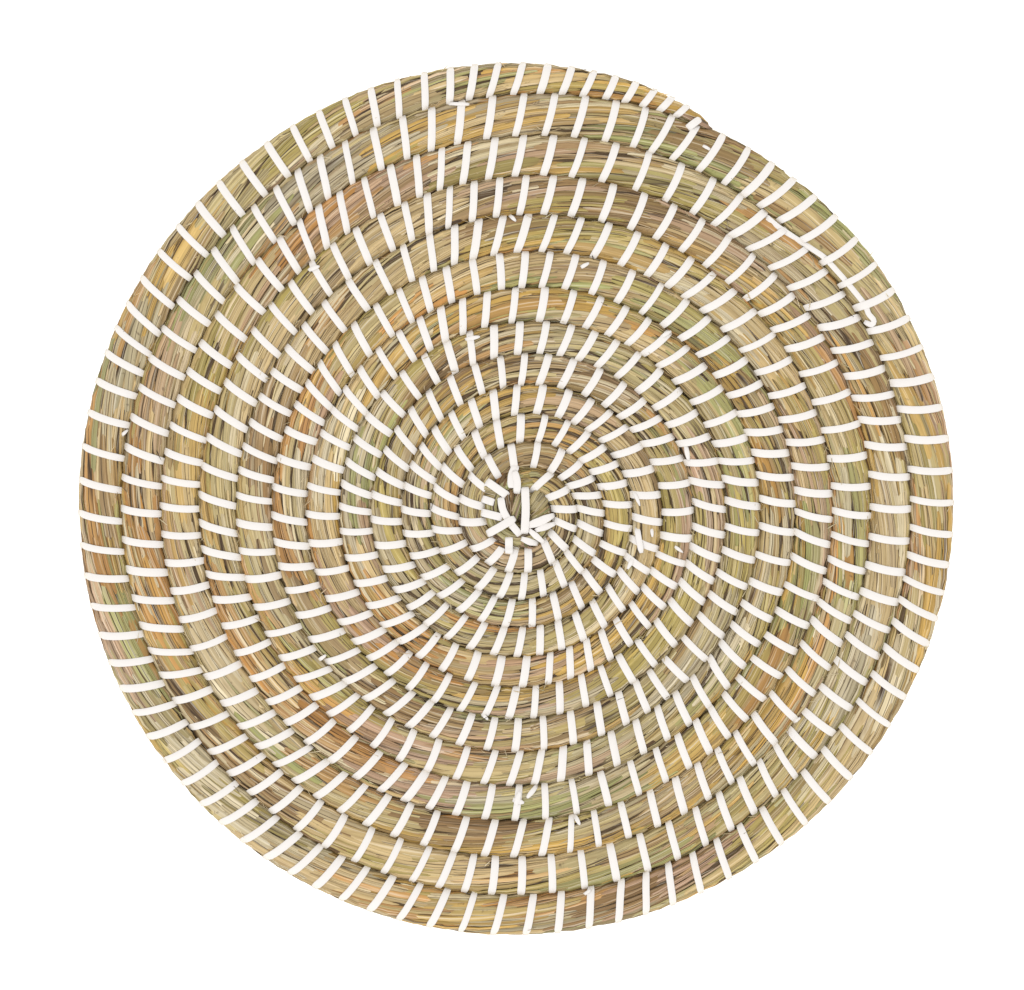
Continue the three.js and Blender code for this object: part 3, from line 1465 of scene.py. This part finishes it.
@dataclass(frozen=True)
class StripSection:
    """Section of the sewing strip: flat, with rounded edges. Millimetres."""

    width: float = 3.3
    thickness: float = 0.6

    def corners(self) -> tuple[np.ndarray, np.ndarray]:
        """Eight corners round the strip.

        Returns:
            Share of the width from -0.5 to 0.5, and height above the strip's base.
        """
        side = np.array([-0.5, -0.49, -0.43, 0.43, 0.49, 0.5, 0.3, -0.3])
        up = np.array([0.25, 0.78, 1.0, 1.0, 0.78, 0.25, 0.0, 0.0]) * self.thickness
        return side, up


def strip_rings(
    path: np.ndarray, normals: np.ndarray, width: np.ndarray, roll: np.ndarray, section: StripSection
) -> np.ndarray:
    """Carries the strip's section along paths.

    Across the strip is path direction x normal, turned about the path by roll. A corner is
    path + across * width * side + normal * up.

    Args:
        path: ribbon, row, xyz of the strip's base.
        normals: direction out of the bundle at each row.
        width: width at each row.
        roll: turn about the path at each row, in radians.
        section: the strip's section.

    Returns:
        Ribbon, row, corner, xyz.
    """
    forward = unit(np.gradient(path, axis=1))
    normals = unit(normals - forward * np.sum(normals * forward, axis=-1, keepdims=True))
    across = np.cross(forward, normals)
    cosine, sine = np.cos(roll)[..., None], np.sin(roll)[..., None]
    rolled_across = across * cosine + normals * sine
    rolled_out = normals * cosine - across * sine
    side, up = section.corners()
    return (
        path[:, :, None]
        + rolled_across[:, :, None] * (width[..., None] * side)[..., None]
        + rolled_out[:, :, None] * up[None, None, :, None]
    )


def strip_piece(
    name: str, rings: np.ndarray, rng: np.random.Generator, material: bpy.types.Material
) -> bpy.types.Object:
    """Makes lengths of strip into a piece, with their place and crevice share as attributes.

    The crevice share grows from 0 on the crown to 1 in the crevices.

    Args:
        name: the piece's name.
        rings: ribbon, row, corner, xyz.
        rng: source of each strip's own offset.
        material: finish of the strip.

    Returns:
        The object.
    """
    along = running_sum(np.linalg.norm(np.diff(rings.mean(axis=2), axis=1), axis=-1))
    side, _ = StripSection().corners()
    place = pattern_place(rings.shape, along, side * StripSection().width, rng)
    # 1 low down, towards the crevices, where the strip is drawn a darker, warmer white
    crevice_share = 1 - smooth_step(rings[..., 2], 5.0, 7.6)
    return Ribbons(name, rings, place, "strip_place", {"strip_crevice_share": crevice_share}, 4.0).build(material)


@dataclass(frozen=True)
class LaidStrip:
    """A listed strip over the face: where it runs on the photograph, and how it lies.

    level is its height over the bundle in millimetres, tip_share the share of its width that
    is left at an end, and taper_mm the length over which it narrows.
    """

    route: tuple[tuple[float, float], ...]
    width_pixels: float = 8.4
    level: float = 0.3
    tucked_start: bool = True
    tucked_end: bool = True
    tip_share: float = 0.8
    taper_mm: float = 1.8

    def line(self, rows: int) -> tuple[np.ndarray, np.ndarray]:
        """Resamples the route evenly by length, and rounds it off.

        Args:
            rows: number of places.

        Returns:
            Rows of x and y in millimetres, and the length up to each of them.
        """
        route = from_photo(np.array(self.route))
        length = running_sum(np.hypot(*np.diff(route, axis=0).T))
        places = np.linspace(0, length[-1], rows)
        flat = np.stack([np.interp(places, length, route[:, axis]) for axis in (0, 1)], axis=-1)
        for _ in range(2):
            flat[1:-1] = (flat[:-2] + 2 * flat[1:-1] + flat[2:]) / 4
        return flat, places


@dataclass(frozen=True)
class LooseEnd(LaidStrip):
    """A short cut end of the strip, which sticks up out of the stitching."""

    width_pixels: float = 4.2
    level: float = 0.2
    tucked_end: bool = False
    tip_share: float = 0.4
    taper_mm: float = 2.5


@dataclass
class Stitching:
    """The regular stitches, each once round the bundle from its hole to the next one."""

    form: BundleForm
    caught: LaidStrip
    section: StripSection = StripSection()
    # Over the caught strip, from this height of the section upwards
    caught_lift: float = 0.95
    caught_reach: float = 3.0
    crown_from: float = 0.3
    face_rows: int = 15
    foot_rows: int = 8
    base_lift: float = 0.46
    foot_lift: float = 0.22
    # Section angles over the face and underneath, in half turns
    face_angles: tuple[float, float] = (1.05, -0.05)
    foot_angles: tuple[float, float] = (-0.12, -0.95)
    into_turn: float = 0.7
    dive_share: float = 0.16
    # Shares of the width across the bundle, drawn narrower at the crevices, and chance in it
    width_places: tuple[float, ...] = (0.0, 0.07, 0.2, 0.9, 0.96, 1.0)
    width_shares: tuple[float, ...] = (0.82, 0.95, 1.0, 1.0, 0.93, 0.76)
    width_spread: float = 0.05
    roll_degrees: float = 3.0
    seed: int = 31
    pieces: int = 2

    def build(self, material: bpy.types.Material) -> list[bpy.types.Object]:
        """Wraps the strip.

        Over the face a stitch follows its own mark from the inner crevice to the outer one.
        Underneath it slants on to the next hole. At the inner end it dives into the turn
        inside, by into_turn millimetres. Over the caught strip it is raised by caught_lift,
        which falls off as exp(-(distance / caught_reach)^2).

        Args:
            material: finish of the strip.

        Returns:
            The objects.
        """
        rng = np.random.default_rng(self.seed)
        marks = self.form.marks
        sewn = np.flatnonzero(marks.sewn > 0)
        count = len(sewn)
        face = np.linspace(*self.face_angles, self.face_rows) * math.pi
        foot = np.linspace(*self.foot_angles, self.foot_rows) * math.pi
        angle = np.concatenate([face, foot])
        over = np.arange(len(angle)) < self.face_rows
        x, y = self.form.section(angle)
        across = 0.5 + 0.5 * x
        phase = sewn[:, None] + np.where(over, 0, 1 - across)
        lift = np.where(over, self.base_lift, self.foot_lift)
        path, normals = self.form.surface(phase, angle[None], lift[None])
        middle = np.append(-self.form.middle, 0)
        inward = unit((path - middle) * np.array([1, 1, 0]))
        dive = self.into_turn * np.clip(1 - across / self.dive_share, 0, 1) ** 2
        path = path - inward * dive[None, :, None]
        under, _ = self.caught.line(40)
        gaps = path[:, :, None, :2] - under
        away = np.hypot(gaps[..., 0], gaps[..., 1]).min(axis=2)
        raised = self.caught_lift * np.exp(-((away / self.caught_reach) ** 2))
        path[..., 2] += raised * (y > self.crown_from)
        path[..., 2] = np.maximum(path[..., 2], self.section.thickness + 0.02)
        width = np.interp(across, self.width_places, self.width_shares)
        width = self.section.width * width[None] * rng.normal(1, self.width_spread, (count, 1))
        roll = rng.normal(0, self.roll_degrees, (count, 1))
        roll = np.radians(roll) * np.ones((1, len(angle)))
        rings = strip_rings(path, normals, width, roll, self.section)
        rings[..., 2] = np.maximum(rings[..., 2], 0)
        made = []
        for part, chosen in enumerate(np.array_split(np.arange(count), self.pieces), start=1):
            made.append(strip_piece(f"stitching_strip_{part}", rings[chosen], rng, material))
        return made


@dataclass
class LaidStrips:
    """Strips that follow no rule: over the hub, splices and loose ends."""

    form: BundleForm
    name: str
    strips: tuple[LaidStrip, ...]
    section: StripSection = StripSection()
    rows: int = 15
    clearance: float = 0.35
    tuck: float = 3.2
    tuck_length: float = 2.2
    roll_degrees: float = 3.0
    seed: int = 41

    def lay(self, strip: LaidStrip) -> tuple[np.ndarray, np.ndarray]:
        """Lays a strip over the ridges, and sinks its tucked ends.

        The height along its route is the bundle's, held up over the crevices by a running
        mean, plus the strip's level. Towards an end it narrows as distance^0.6.

        Args:
            strip: the strip.

        Returns:
            Its path, and its width at each row.
        """
        flat, places = strip.line(self.rows)
        padded = np.pad(self.form.face_height(flat), 2, mode="edge")
        held = np.maximum.reduce([padded[i : i + self.rows] for i in range(5)])
        for _ in range(4):
            held[1:-1] = (held[:-2] + 2 * held[1:-1] + held[2:]) / 4
        held = held + self.clearance + strip.level
        from_end = places[-1] - places
        for tucked, distance in ((strip.tucked_start, places), (strip.tucked_end, from_end)):
            if tucked:
                held = held - self.tuck * (1 - smooth_step(distance, 0, self.tuck_length))
        ends = np.clip(np.minimum(places, from_end) / strip.taper_mm, 0, 1) ** 0.6
        full = strip.width_pixels * PHOTO_MM_PER_PIXEL
        width = full * (strip.tip_share + (1 - strip.tip_share) * ends)
        return np.concatenate([flat, held[:, None]], axis=1), width

    def build(self, material: bpy.types.Material) -> bpy.types.Object:
        """Lays the strips in order and gives them their section.

        Args:
            material: finish of the strip.

        Returns:
            The object.
        """
        rng = np.random.default_rng(self.seed)
        path, width = (np.array(parts) for parts in zip(*map(self.lay, self.strips)))
        roll = rng.normal(0, self.roll_degrees, (len(path), 1))
        roll = np.radians(roll) * np.ones((1, self.rows))
        rings = strip_rings(path, np.broadcast_to(UP, path.shape), width, roll, self.section)
        return strip_piece(self.name, rings, rng, material)


# Strips over the hub, in pixels of the photograph, from the lowest to the topmost
HUB_STRIPS = (
    LaidStrip(((485.5, 480.5), (508.5, 496.5)), 8.2, 0.35),
    LaidStrip(((481, 498.2), (495.5, 503.2)), 7.6, 0.35, tip_share=0.7),
    LaidStrip(((480, 512), (504, 518)), 8.0, 0.35),
    LaidStrip(((520, 538), (530, 542), (539, 544)), 7.0, 0.35, tip_share=0.4, taper_mm=4.0),
    LaidStrip(((527, 528), (536, 536), (545, 543.5)), 6.4, 0.45, tip_share=0.3, taper_mm=5.0),
    LaidStrip(((509, 555), (509, 536)), 8.0, 0.35),
    LaidStrip(((534, 531), (544, 527.5), (556.5, 523)), 6.6, 0.45, tip_share=0.3, taper_mm=4.5),
    LaidStrip(((524, 527), (540, 521.5), (555, 514.5)), 8.6, 0.65, tip_share=0.25, taper_mm=5.0),
    LaidStrip(((516.5, 464.5), (511.8, 475), (511.2, 488)), 8.2, 0.45, True, False, 0.6),
    LaidStrip(((514.5, 471), (517.5, 482), (516.8, 494.5)), 7.4, 0.85, False, True, 0.6),
    LaidStrip(((500.5, 496), (502.5, 510), (510, 523), (521, 536)), 7.4, 0.65, tip_share=0.6),
    LaidStrip(((486.5, 534.5), (500, 527), (515, 518)), 8.2, 1.05, True, False, 0.6),
    LaidStrip(((525, 486), (525.8, 510), (524.5, 534.5)), 8.2, 1.05, tip_share=0.75),
)

# Splices and loose ends of the strip
STRIP_ENDS = (
    LooseEnd(((637, 527), (639, 540), (641.5, 553)), 6.0, 0.3, tip_share=0.6, taper_mm=1.8),
    LooseEnd(((632.5, 490), (637, 498), (640, 506)), 3.6, tip_share=0.3, taper_mm=3.0),
    LooseEnd(((651.5, 527), (652.5, 537)), 3.6),
    LooseEnd(((633, 556), (631, 563), (627.5, 569)), 4.6, tip_share=0.35, taper_mm=3.0),
    LooseEnd(((673, 545), (683, 552.5)), tip_share=0.2, taper_mm=4.0),
    LooseEnd(((685.5, 444), (688.6, 460)), 5.0, tip_share=0.5, taper_mm=3.0),
    LooseEnd(((511, 799), (524, 803)), 5.6, 0.3),
    LooseEnd(((520, 791), (515, 808)), 5.2, 0.5, tucked_start=False, tucked_end=True),
    LooseEnd(((537, 786), (527, 798)), 5.0, tip_share=0.5),
    LooseEnd(((574.6, 815), (580, 825)), 4.6, 0.3),
    LooseEnd(((464, 339.5), (480, 336.5)), level=0.3),
    LooseEnd(((700.5, 144.3), (712, 150.4)), 3.6, tucked_end=True, tip_share=0.3, taper_mm=3.5),
    LaidStrip(((701, 118), (694, 123), (686, 129)), 7.4, 0.0, tip_share=0.7),
    LooseEnd(((307, 270.5), (319.5, 266)), 4.6, 0.3),
    LooseEnd(((509, 214), (516, 221))),
    LooseEnd(((579, 268.5), (589, 263))),
    LooseEnd(((447, 103), (471, 104)), 3.6, 0.1, tucked_end=True, tip_share=0.5, taper_mm=3.0),
    LooseEnd(((660, 337.5), (671, 331))),
    LooseEnd(((481, 713), (488, 720)), 4.0),
    LooseEnd(((583, 896), (591, 890)), 3.8),
    LooseEnd(((793, 724), (801, 718)), 3.8),
    LooseEnd(((120, 436.5), (127, 430)), 3.8),
    LooseEnd(((317, 661.5), (326, 655)), 4.0),
)

# A long end caught under the stitches of the last full turn
CAUGHT_STRIP = LaidStrip(
    (
        (764, 214),
        (779, 227),
        (805, 243.5),
        (825, 257),
        (845.6, 280),
        (867, 306.6),
        (868, 314),
        (875.5, 320),
        (873, 326),
        (865, 321.5),
    ),
    width_pixels=5.6,
    level=-0.05,
    tucked_end=False,
    tip_share=0.7,
)


@dataclass
class FrayedFibres:
    """Broken ends of leaf that stand out beside the stitches."""

    form: BundleForm
    colours: StrawColours
    count: int = 900
    rows: int = 5
    seed: int = 53
    first_mark: int = 18
    mark_shares: tuple[float, float] = (0.25, 0.75)
    outer_share: float = 0.6
    outer_girth: tuple[float, float] = (0.05, 0.15)
    inner_girth: tuple[float, float] = (0.35, 0.45)
    lengths: tuple[float, float] = (1.8, 5.5)
    slant_degrees: float = 30.0
    steepest_degrees: float = 70.0
    rises: tuple[float, float] = (0.1, 0.5)
    root_lift: float = 0.35
    root_sink: float = 0.4
    clearance: float = 0.3
    highest: float = 9.4
    width: float = 0.46
    width_shares: tuple[float, float] = (0.6, 1.5)
    taper: float = 0.7

    def build(self, material: bpy.types.Material) -> bpy.types.Object:
        """Bends each fibre up out of the straw and to one side.

        A fibre starts at a place near a crevice and runs length * t along the bundle,
        sideways by slant * t, and up by rise * t^1.5. Its section is a triangle.

        Args:
            material: finish of the straw.

        Returns:
            The object.
        """
        rng = np.random.default_rng(self.seed)
        count = self.count
        marks = len(self.form.marks.hole) - 2
        phase = rng.integers(self.first_mark, marks, count)
        phase = phase + rng.uniform(*self.mark_shares, count)
        outer_side = rng.random(count) < self.outer_share
        outer_girth = rng.uniform(*self.outer_girth, count)
        girth = np.where(outer_side, outer_girth, rng.uniform(*self.inner_girth, count))
        length = rng.uniform(*self.lengths, count)
        way = np.where(rng.random(count) < 0.5, -1.0, 1.0)
        angle = self.form.angle_at(girth)
        base, _ = self.form.surface(phase, angle, np.array(self.root_lift))
        outward = unit(base[:, :2] + self.form.middle)
        tangent = np.stack([outward[:, 1], -outward[:, 0]], axis=-1)
        slant = rng.normal(0, self.slant_degrees, count)
        slant = np.clip(slant, -self.steepest_degrees, self.steepest_degrees)
        t = np.linspace(0, 1, self.rows)
        run = tangent * way[:, None] + outward * np.tan(np.radians(slant))[:, None]
        path = np.zeros((count, self.rows, 3))
        path[..., :2] = base[:, None, :2] + unit(run)[:, None] * (length[:, None] * t)[..., None]
        rise = rng.uniform(*self.rises, count)[:, None] * t**1.5
        ground = self.form.face_height(path[..., :2]) + self.clearance
        height = np.maximum(base[:, None, 2] - self.root_sink * (1 - t) + rise, ground * t)
        path[..., 2] = np.minimum(height, self.highest)
        width = self.width * rng.uniform(*self.width_shares, (count, 1)) * (1 - self.taper * t[None])
        corner_height = width[..., None] * np.array([0.0, 0.7, 0.0])
        rings = upright_rings(path, width, np.array([-0.5, 0.0, 0.5]), corner_height)
        place = pattern_place(rings.shape, length[:, None] * t, np.zeros(3), rng)
        straw = self.colours.pick(phase, girth, np.zeros(count, bool))
        rgb = ((straw + StrawTone.PALE.linear) / 2)[:, None, None]
        return straw_piece("frayed_fibres", rings, place, rgb, material)


@dataclass(frozen=True)
class StalkFan:
    """A sheaf of short stalks.

    Its ends and their spreads are in pixels of the photograph. The stalks' width, and their
    level over the bundle, are in millimetres.
    """

    start: tuple[float, float]
    end: tuple[float, float]
    start_spread: tuple[float, float]
    end_spread: tuple[float, float]
    count: int
    width: float
    level: float
    tone: StrawTone


# The bundle's own start, folded over the hub
HUB_FANS = (
    StalkFan((519, 476), (533, 475), (1, 9), (2, 7), 11, 1.5, 0.23, StrawTone.OLIVE),
    StalkFan((498, 489), (508, 474), (5, 3), (3, 3), 6, 1.3, 0.03, StrawTone.BROWN),
    StalkFan((483, 490), (499, 495), (1, 4), (1, 3), 6, 1.3, -0.02, StrawTone.KHAKI),
    StalkFan((530, 521), (549, 507), (1, 6), (2, 6), 11, 1.3, 0.18, StrawTone.OLIVE),
    StalkFan((531, 510), (543, 493), (2, 5), (5, 4), 6, 2.4, 0.38, StrawTone.KHAKI),
    StalkFan((510, 487), (512, 519), (6, 2), (2, 2), 8, 1.3, 0.23, StrawTone.BROWN),
    StalkFan((520, 492), (512, 521), (2, 6), (2, 3), 6, 1.2, 0.33, StrawTone.GREEN),
    StalkFan((489, 537), (510, 545), (2, 5), (4, 5), 10, 1.1, 0.08, StrawTone.BROWN),
    StalkFan((518, 540), (533, 548), (2, 4), (2, 3), 7, 1.1, -0.02, StrawTone.PINKISH),
)

# The bundle's other end, where it thins out
TAIL_FANS = (StalkFan((668, 111), (713, 131), (2, 7), (1, 2), 9, 1.9, -1.1, StrawTone.TAN),)


@dataclass
class FoldedStraw:
    """Short stalks, listed fan by fan, at an end of the bundle."""

    form: BundleForm
    name: str
    fans: tuple[StalkFan, ...]
    rows: int = 9
    thickness: float = 0.4
    disorder_pixels: float = 1.1
    clearance: float = 0.1
    sink: float = 1.3
    own_tone_share: float = 0.8
    # Shares of a tone's brightness, as the folded straw lies in shade
    values: tuple[float, float] = (0.35, 0.8)
    width_shares: tuple[float, float] = (0.7, 1.4)
    uneven_levels: tuple[float, float] = (0.0, 0.3)
    # Painted shade at the edges of each stalk, and a faint painted highlight along its middle
    edge_shades: tuple[float, ...] = (0.25, 0.9, 1.05, 0.9, 0.25)
    seed: int = 67

    def sheaf(
        self, fan: StalkFan, rng: np.random.Generator
    ) -> tuple[np.ndarray, np.ndarray, np.ndarray]:
        """Lays the stalks of a fan side by side, with a little disorder.

        A stalk runs straight from start to end, each moved by a share of its own spread, and
        its height is the bundle's plus its level, sinking at both ends. Four in five have
        the fan's tone, and the others any tone.

        Args:
            fan: the fan.
            rng: source of chance.

        Returns:
            Path, width and linear colour of each stalk.
        """
        t = np.linspace(0, 1, self.rows)
        share = (np.arange(fan.count) / (fan.count - 1) - 0.5)[:, None] * 2
        pair = (fan.count, 2)
        start = fan.start + share * fan.start_spread + rng.normal(0, self.disorder_pixels, pair)
        end = fan.end + share * fan.end_spread + rng.normal(0, self.disorder_pixels, pair)
        flat = from_photo(start[:, None] + (end - start)[:, None] * t[None, :, None])
        height = self.form.face_height(flat)
        height = 0.4 * height + 0.6 * height.max(axis=1, keepdims=True)
        height = height + self.clearance + fan.level
        height = height + rng.uniform(*self.uneven_levels, (fan.count, 1))
        height = height - self.sink * (1 - np.sin(math.pi * t) ** 0.4)
        path = np.concatenate([flat, height[..., None]], axis=-1)
        width = fan.width * rng.uniform(*self.width_shares, (fan.count, 1))
        width = width * (0.45 + 0.55 * np.sin(math.pi * t) ** 0.5)
        any_tones = np.array([tone.linear for tone in StrawTone])
        other = any_tones[rng.integers(0, len(any_tones), fan.count)]
        own = rng.random((fan.count, 1)) < self.own_tone_share
        tone = np.where(own, fan.tone.linear, other)
        return path, width, tone * rng.uniform(*self.values, (fan.count, 1))

    def build(self, material: bpy.types.Material) -> bpy.types.Object:
        """Gives the stalks of all fans their section and their shade.

        Args:
            material: finish of the straw.

        Returns:
            The object.
        """
        rng = np.random.default_rng(self.seed)
        sheaves = [self.sheaf(fan, rng) for fan in self.fans]
        path, width, tone = (np.concatenate(parts) for parts in zip(*sheaves))
        rings = upright_rings(path, width, ARCH_SIDE, ARCH_RISE * self.thickness)
        along = running_sum(np.linalg.norm(np.diff(path, axis=1), axis=-1))
        place = pattern_place(rings.shape, along, width[..., None] * ARCH_SIDE, rng)
        shade = np.array(self.edge_shades) * crevice_shade(rings[..., 2], np.array(0.0))
        return straw_piece(self.name, rings, place, tone[:, None, None] * warm_shade(shade), material)


@dataclass(frozen=True)
class Studio:
    """Camera, light and floor. The view is from straight above, as in the photograph."""

    lens_mm: float = 100.0
    sensor_mm: float = 36.0
    crown_height_mm: float = 9.0
    floor_size_m: float = 6.0
    sky_strength: float = 1.2
    key_strength: float = 0.62
    key_turn_degrees: float = 205.0
    key_height_degrees: float = 52.0
    key_spread_degrees: float = 50.0

    def camera(self) -> None:
        """Hangs the camera so that a pixel at the crowns is the photograph's pixel."""
        field_mm = PHOTO_WIDTH * PHOTO_MM_PER_PIXEL
        distance = field_mm * self.lens_mm / self.sensor_mm
        aim = from_photo(np.array(PHOTO_MIDDLE))
        data = bpy.data.cameras.new("overhead_camera")
        data.lens = self.lens_mm
        data.sensor_width = self.sensor_mm
        data.clip_end = 20
        camera = bpy.data.objects.new("overhead_camera", data)
        camera.location = (aim[0] * MM, aim[1] * MM, (distance + self.crown_height_mm) * MM)
        bpy.context.scene.collection.objects.link(camera)
        bpy.context.scene.camera = camera

    def light(self) -> None:
        """Surrounds the mat with even white light, and adds a weak broad sun."""
        world = bpy.data.worlds.new("white_studio")
        world.use_nodes = True
        tree = world.node_tree
        tree.nodes.clear()
        sky = add_node(
            tree,
            "ShaderNodeBackground",
            values={"Color": (1.0, 1.0, 1.0, 1.0), "Strength": self.sky_strength},
        )
        add_node(tree, "ShaderNodeOutputWorld", links={"Surface": sky.outputs["Background"]})
        bpy.context.scene.world = world
        data = bpy.data.lights.new("key_light", "SUN")
        data.energy = self.key_strength
        data.angle = math.radians(self.key_spread_degrees)
        key = bpy.data.objects.new("key_light", data)
        key.rotation_euler = (
            math.radians(90 - self.key_height_degrees),
            0,
            math.radians(180 - self.key_turn_degrees),
        )
        bpy.context.scene.collection.objects.link(key)
        bpy.context.scene.view_settings.view_transform = "Standard"

    def floor(self) -> bpy.types.Object:
        """Lays the light table.

        Returns:
            The floor's object.
        """
        half = self.floor_size_m / 2
        corners = np.array([[-half, -half, 0], [half, -half, 0], [half, half, 0], [-half, half, 0]])
        mesh = fill_mesh("studio_floor", corners, np.arange(4), np.array([4]))
        return finish_object("studio_floor", mesh, FloorFinish().material())


def adopt(pieces: list[bpy.types.Object]) -> list[bpy.types.Object]:
    """Puts pieces on the mat's one body, and logs the faces of each.

    Args:
        pieces: objects to adopt.

    Returns:
        The same objects.
    """
    for piece in pieces:
        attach(piece, BODY)
        LOG.info("%s: %d faces", piece.name, len(piece.data.polygons))
    return pieces


def main() -> None:
    """Builds the studio and the mat, and puts its pieces on the mat's body."""
    logging.basicConfig(level=logging.INFO, format="%(message)s")
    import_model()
    studio = Studio()
    studio.camera()
    studio.light()
    studio.floor()

    coil = Coil()
    form = BundleForm(coil, SewingPlan(coil).lay())
    LOG.info("stitches: %d", int(form.marks.sewn.sum()))
    straw = SeagrassFinish().material()
    strip = StripFinish().material()
    colours = StrawColours()

    core = BundleCore(form).build(straw)
    seagrass = [core]
    for side in Side:
        seagrass += StalkLayer(form, colours, side).build(straw)
    seagrass.append(FoldedStraw(form, "hub_stalks", HUB_FANS).build(straw))
    seagrass.append(FoldedStraw(form, "tail_stalks", TAIL_FANS).build(straw))
    seagrass.append(FrayedFibres(form, colours).build(straw))
    white = Stitching(form, CAUGHT_STRIP).build(strip)
    white.append(LaidStrips(form, "hub_strips", HUB_STRIPS, tuck_length=1.3).build(strip))
    white.append(LaidStrips(form, "strip_ends", STRIP_ENDS, rows=7, tuck=2.2).build(strip))
    white.append(LaidStrips(form, "caught_strip_end", (CAUGHT_STRIP,), rows=60).build(strip))
    adopt(seagrass)
    adopt(white)
    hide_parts(CAD_COIL)


if __name__ == "__main__":
    main()
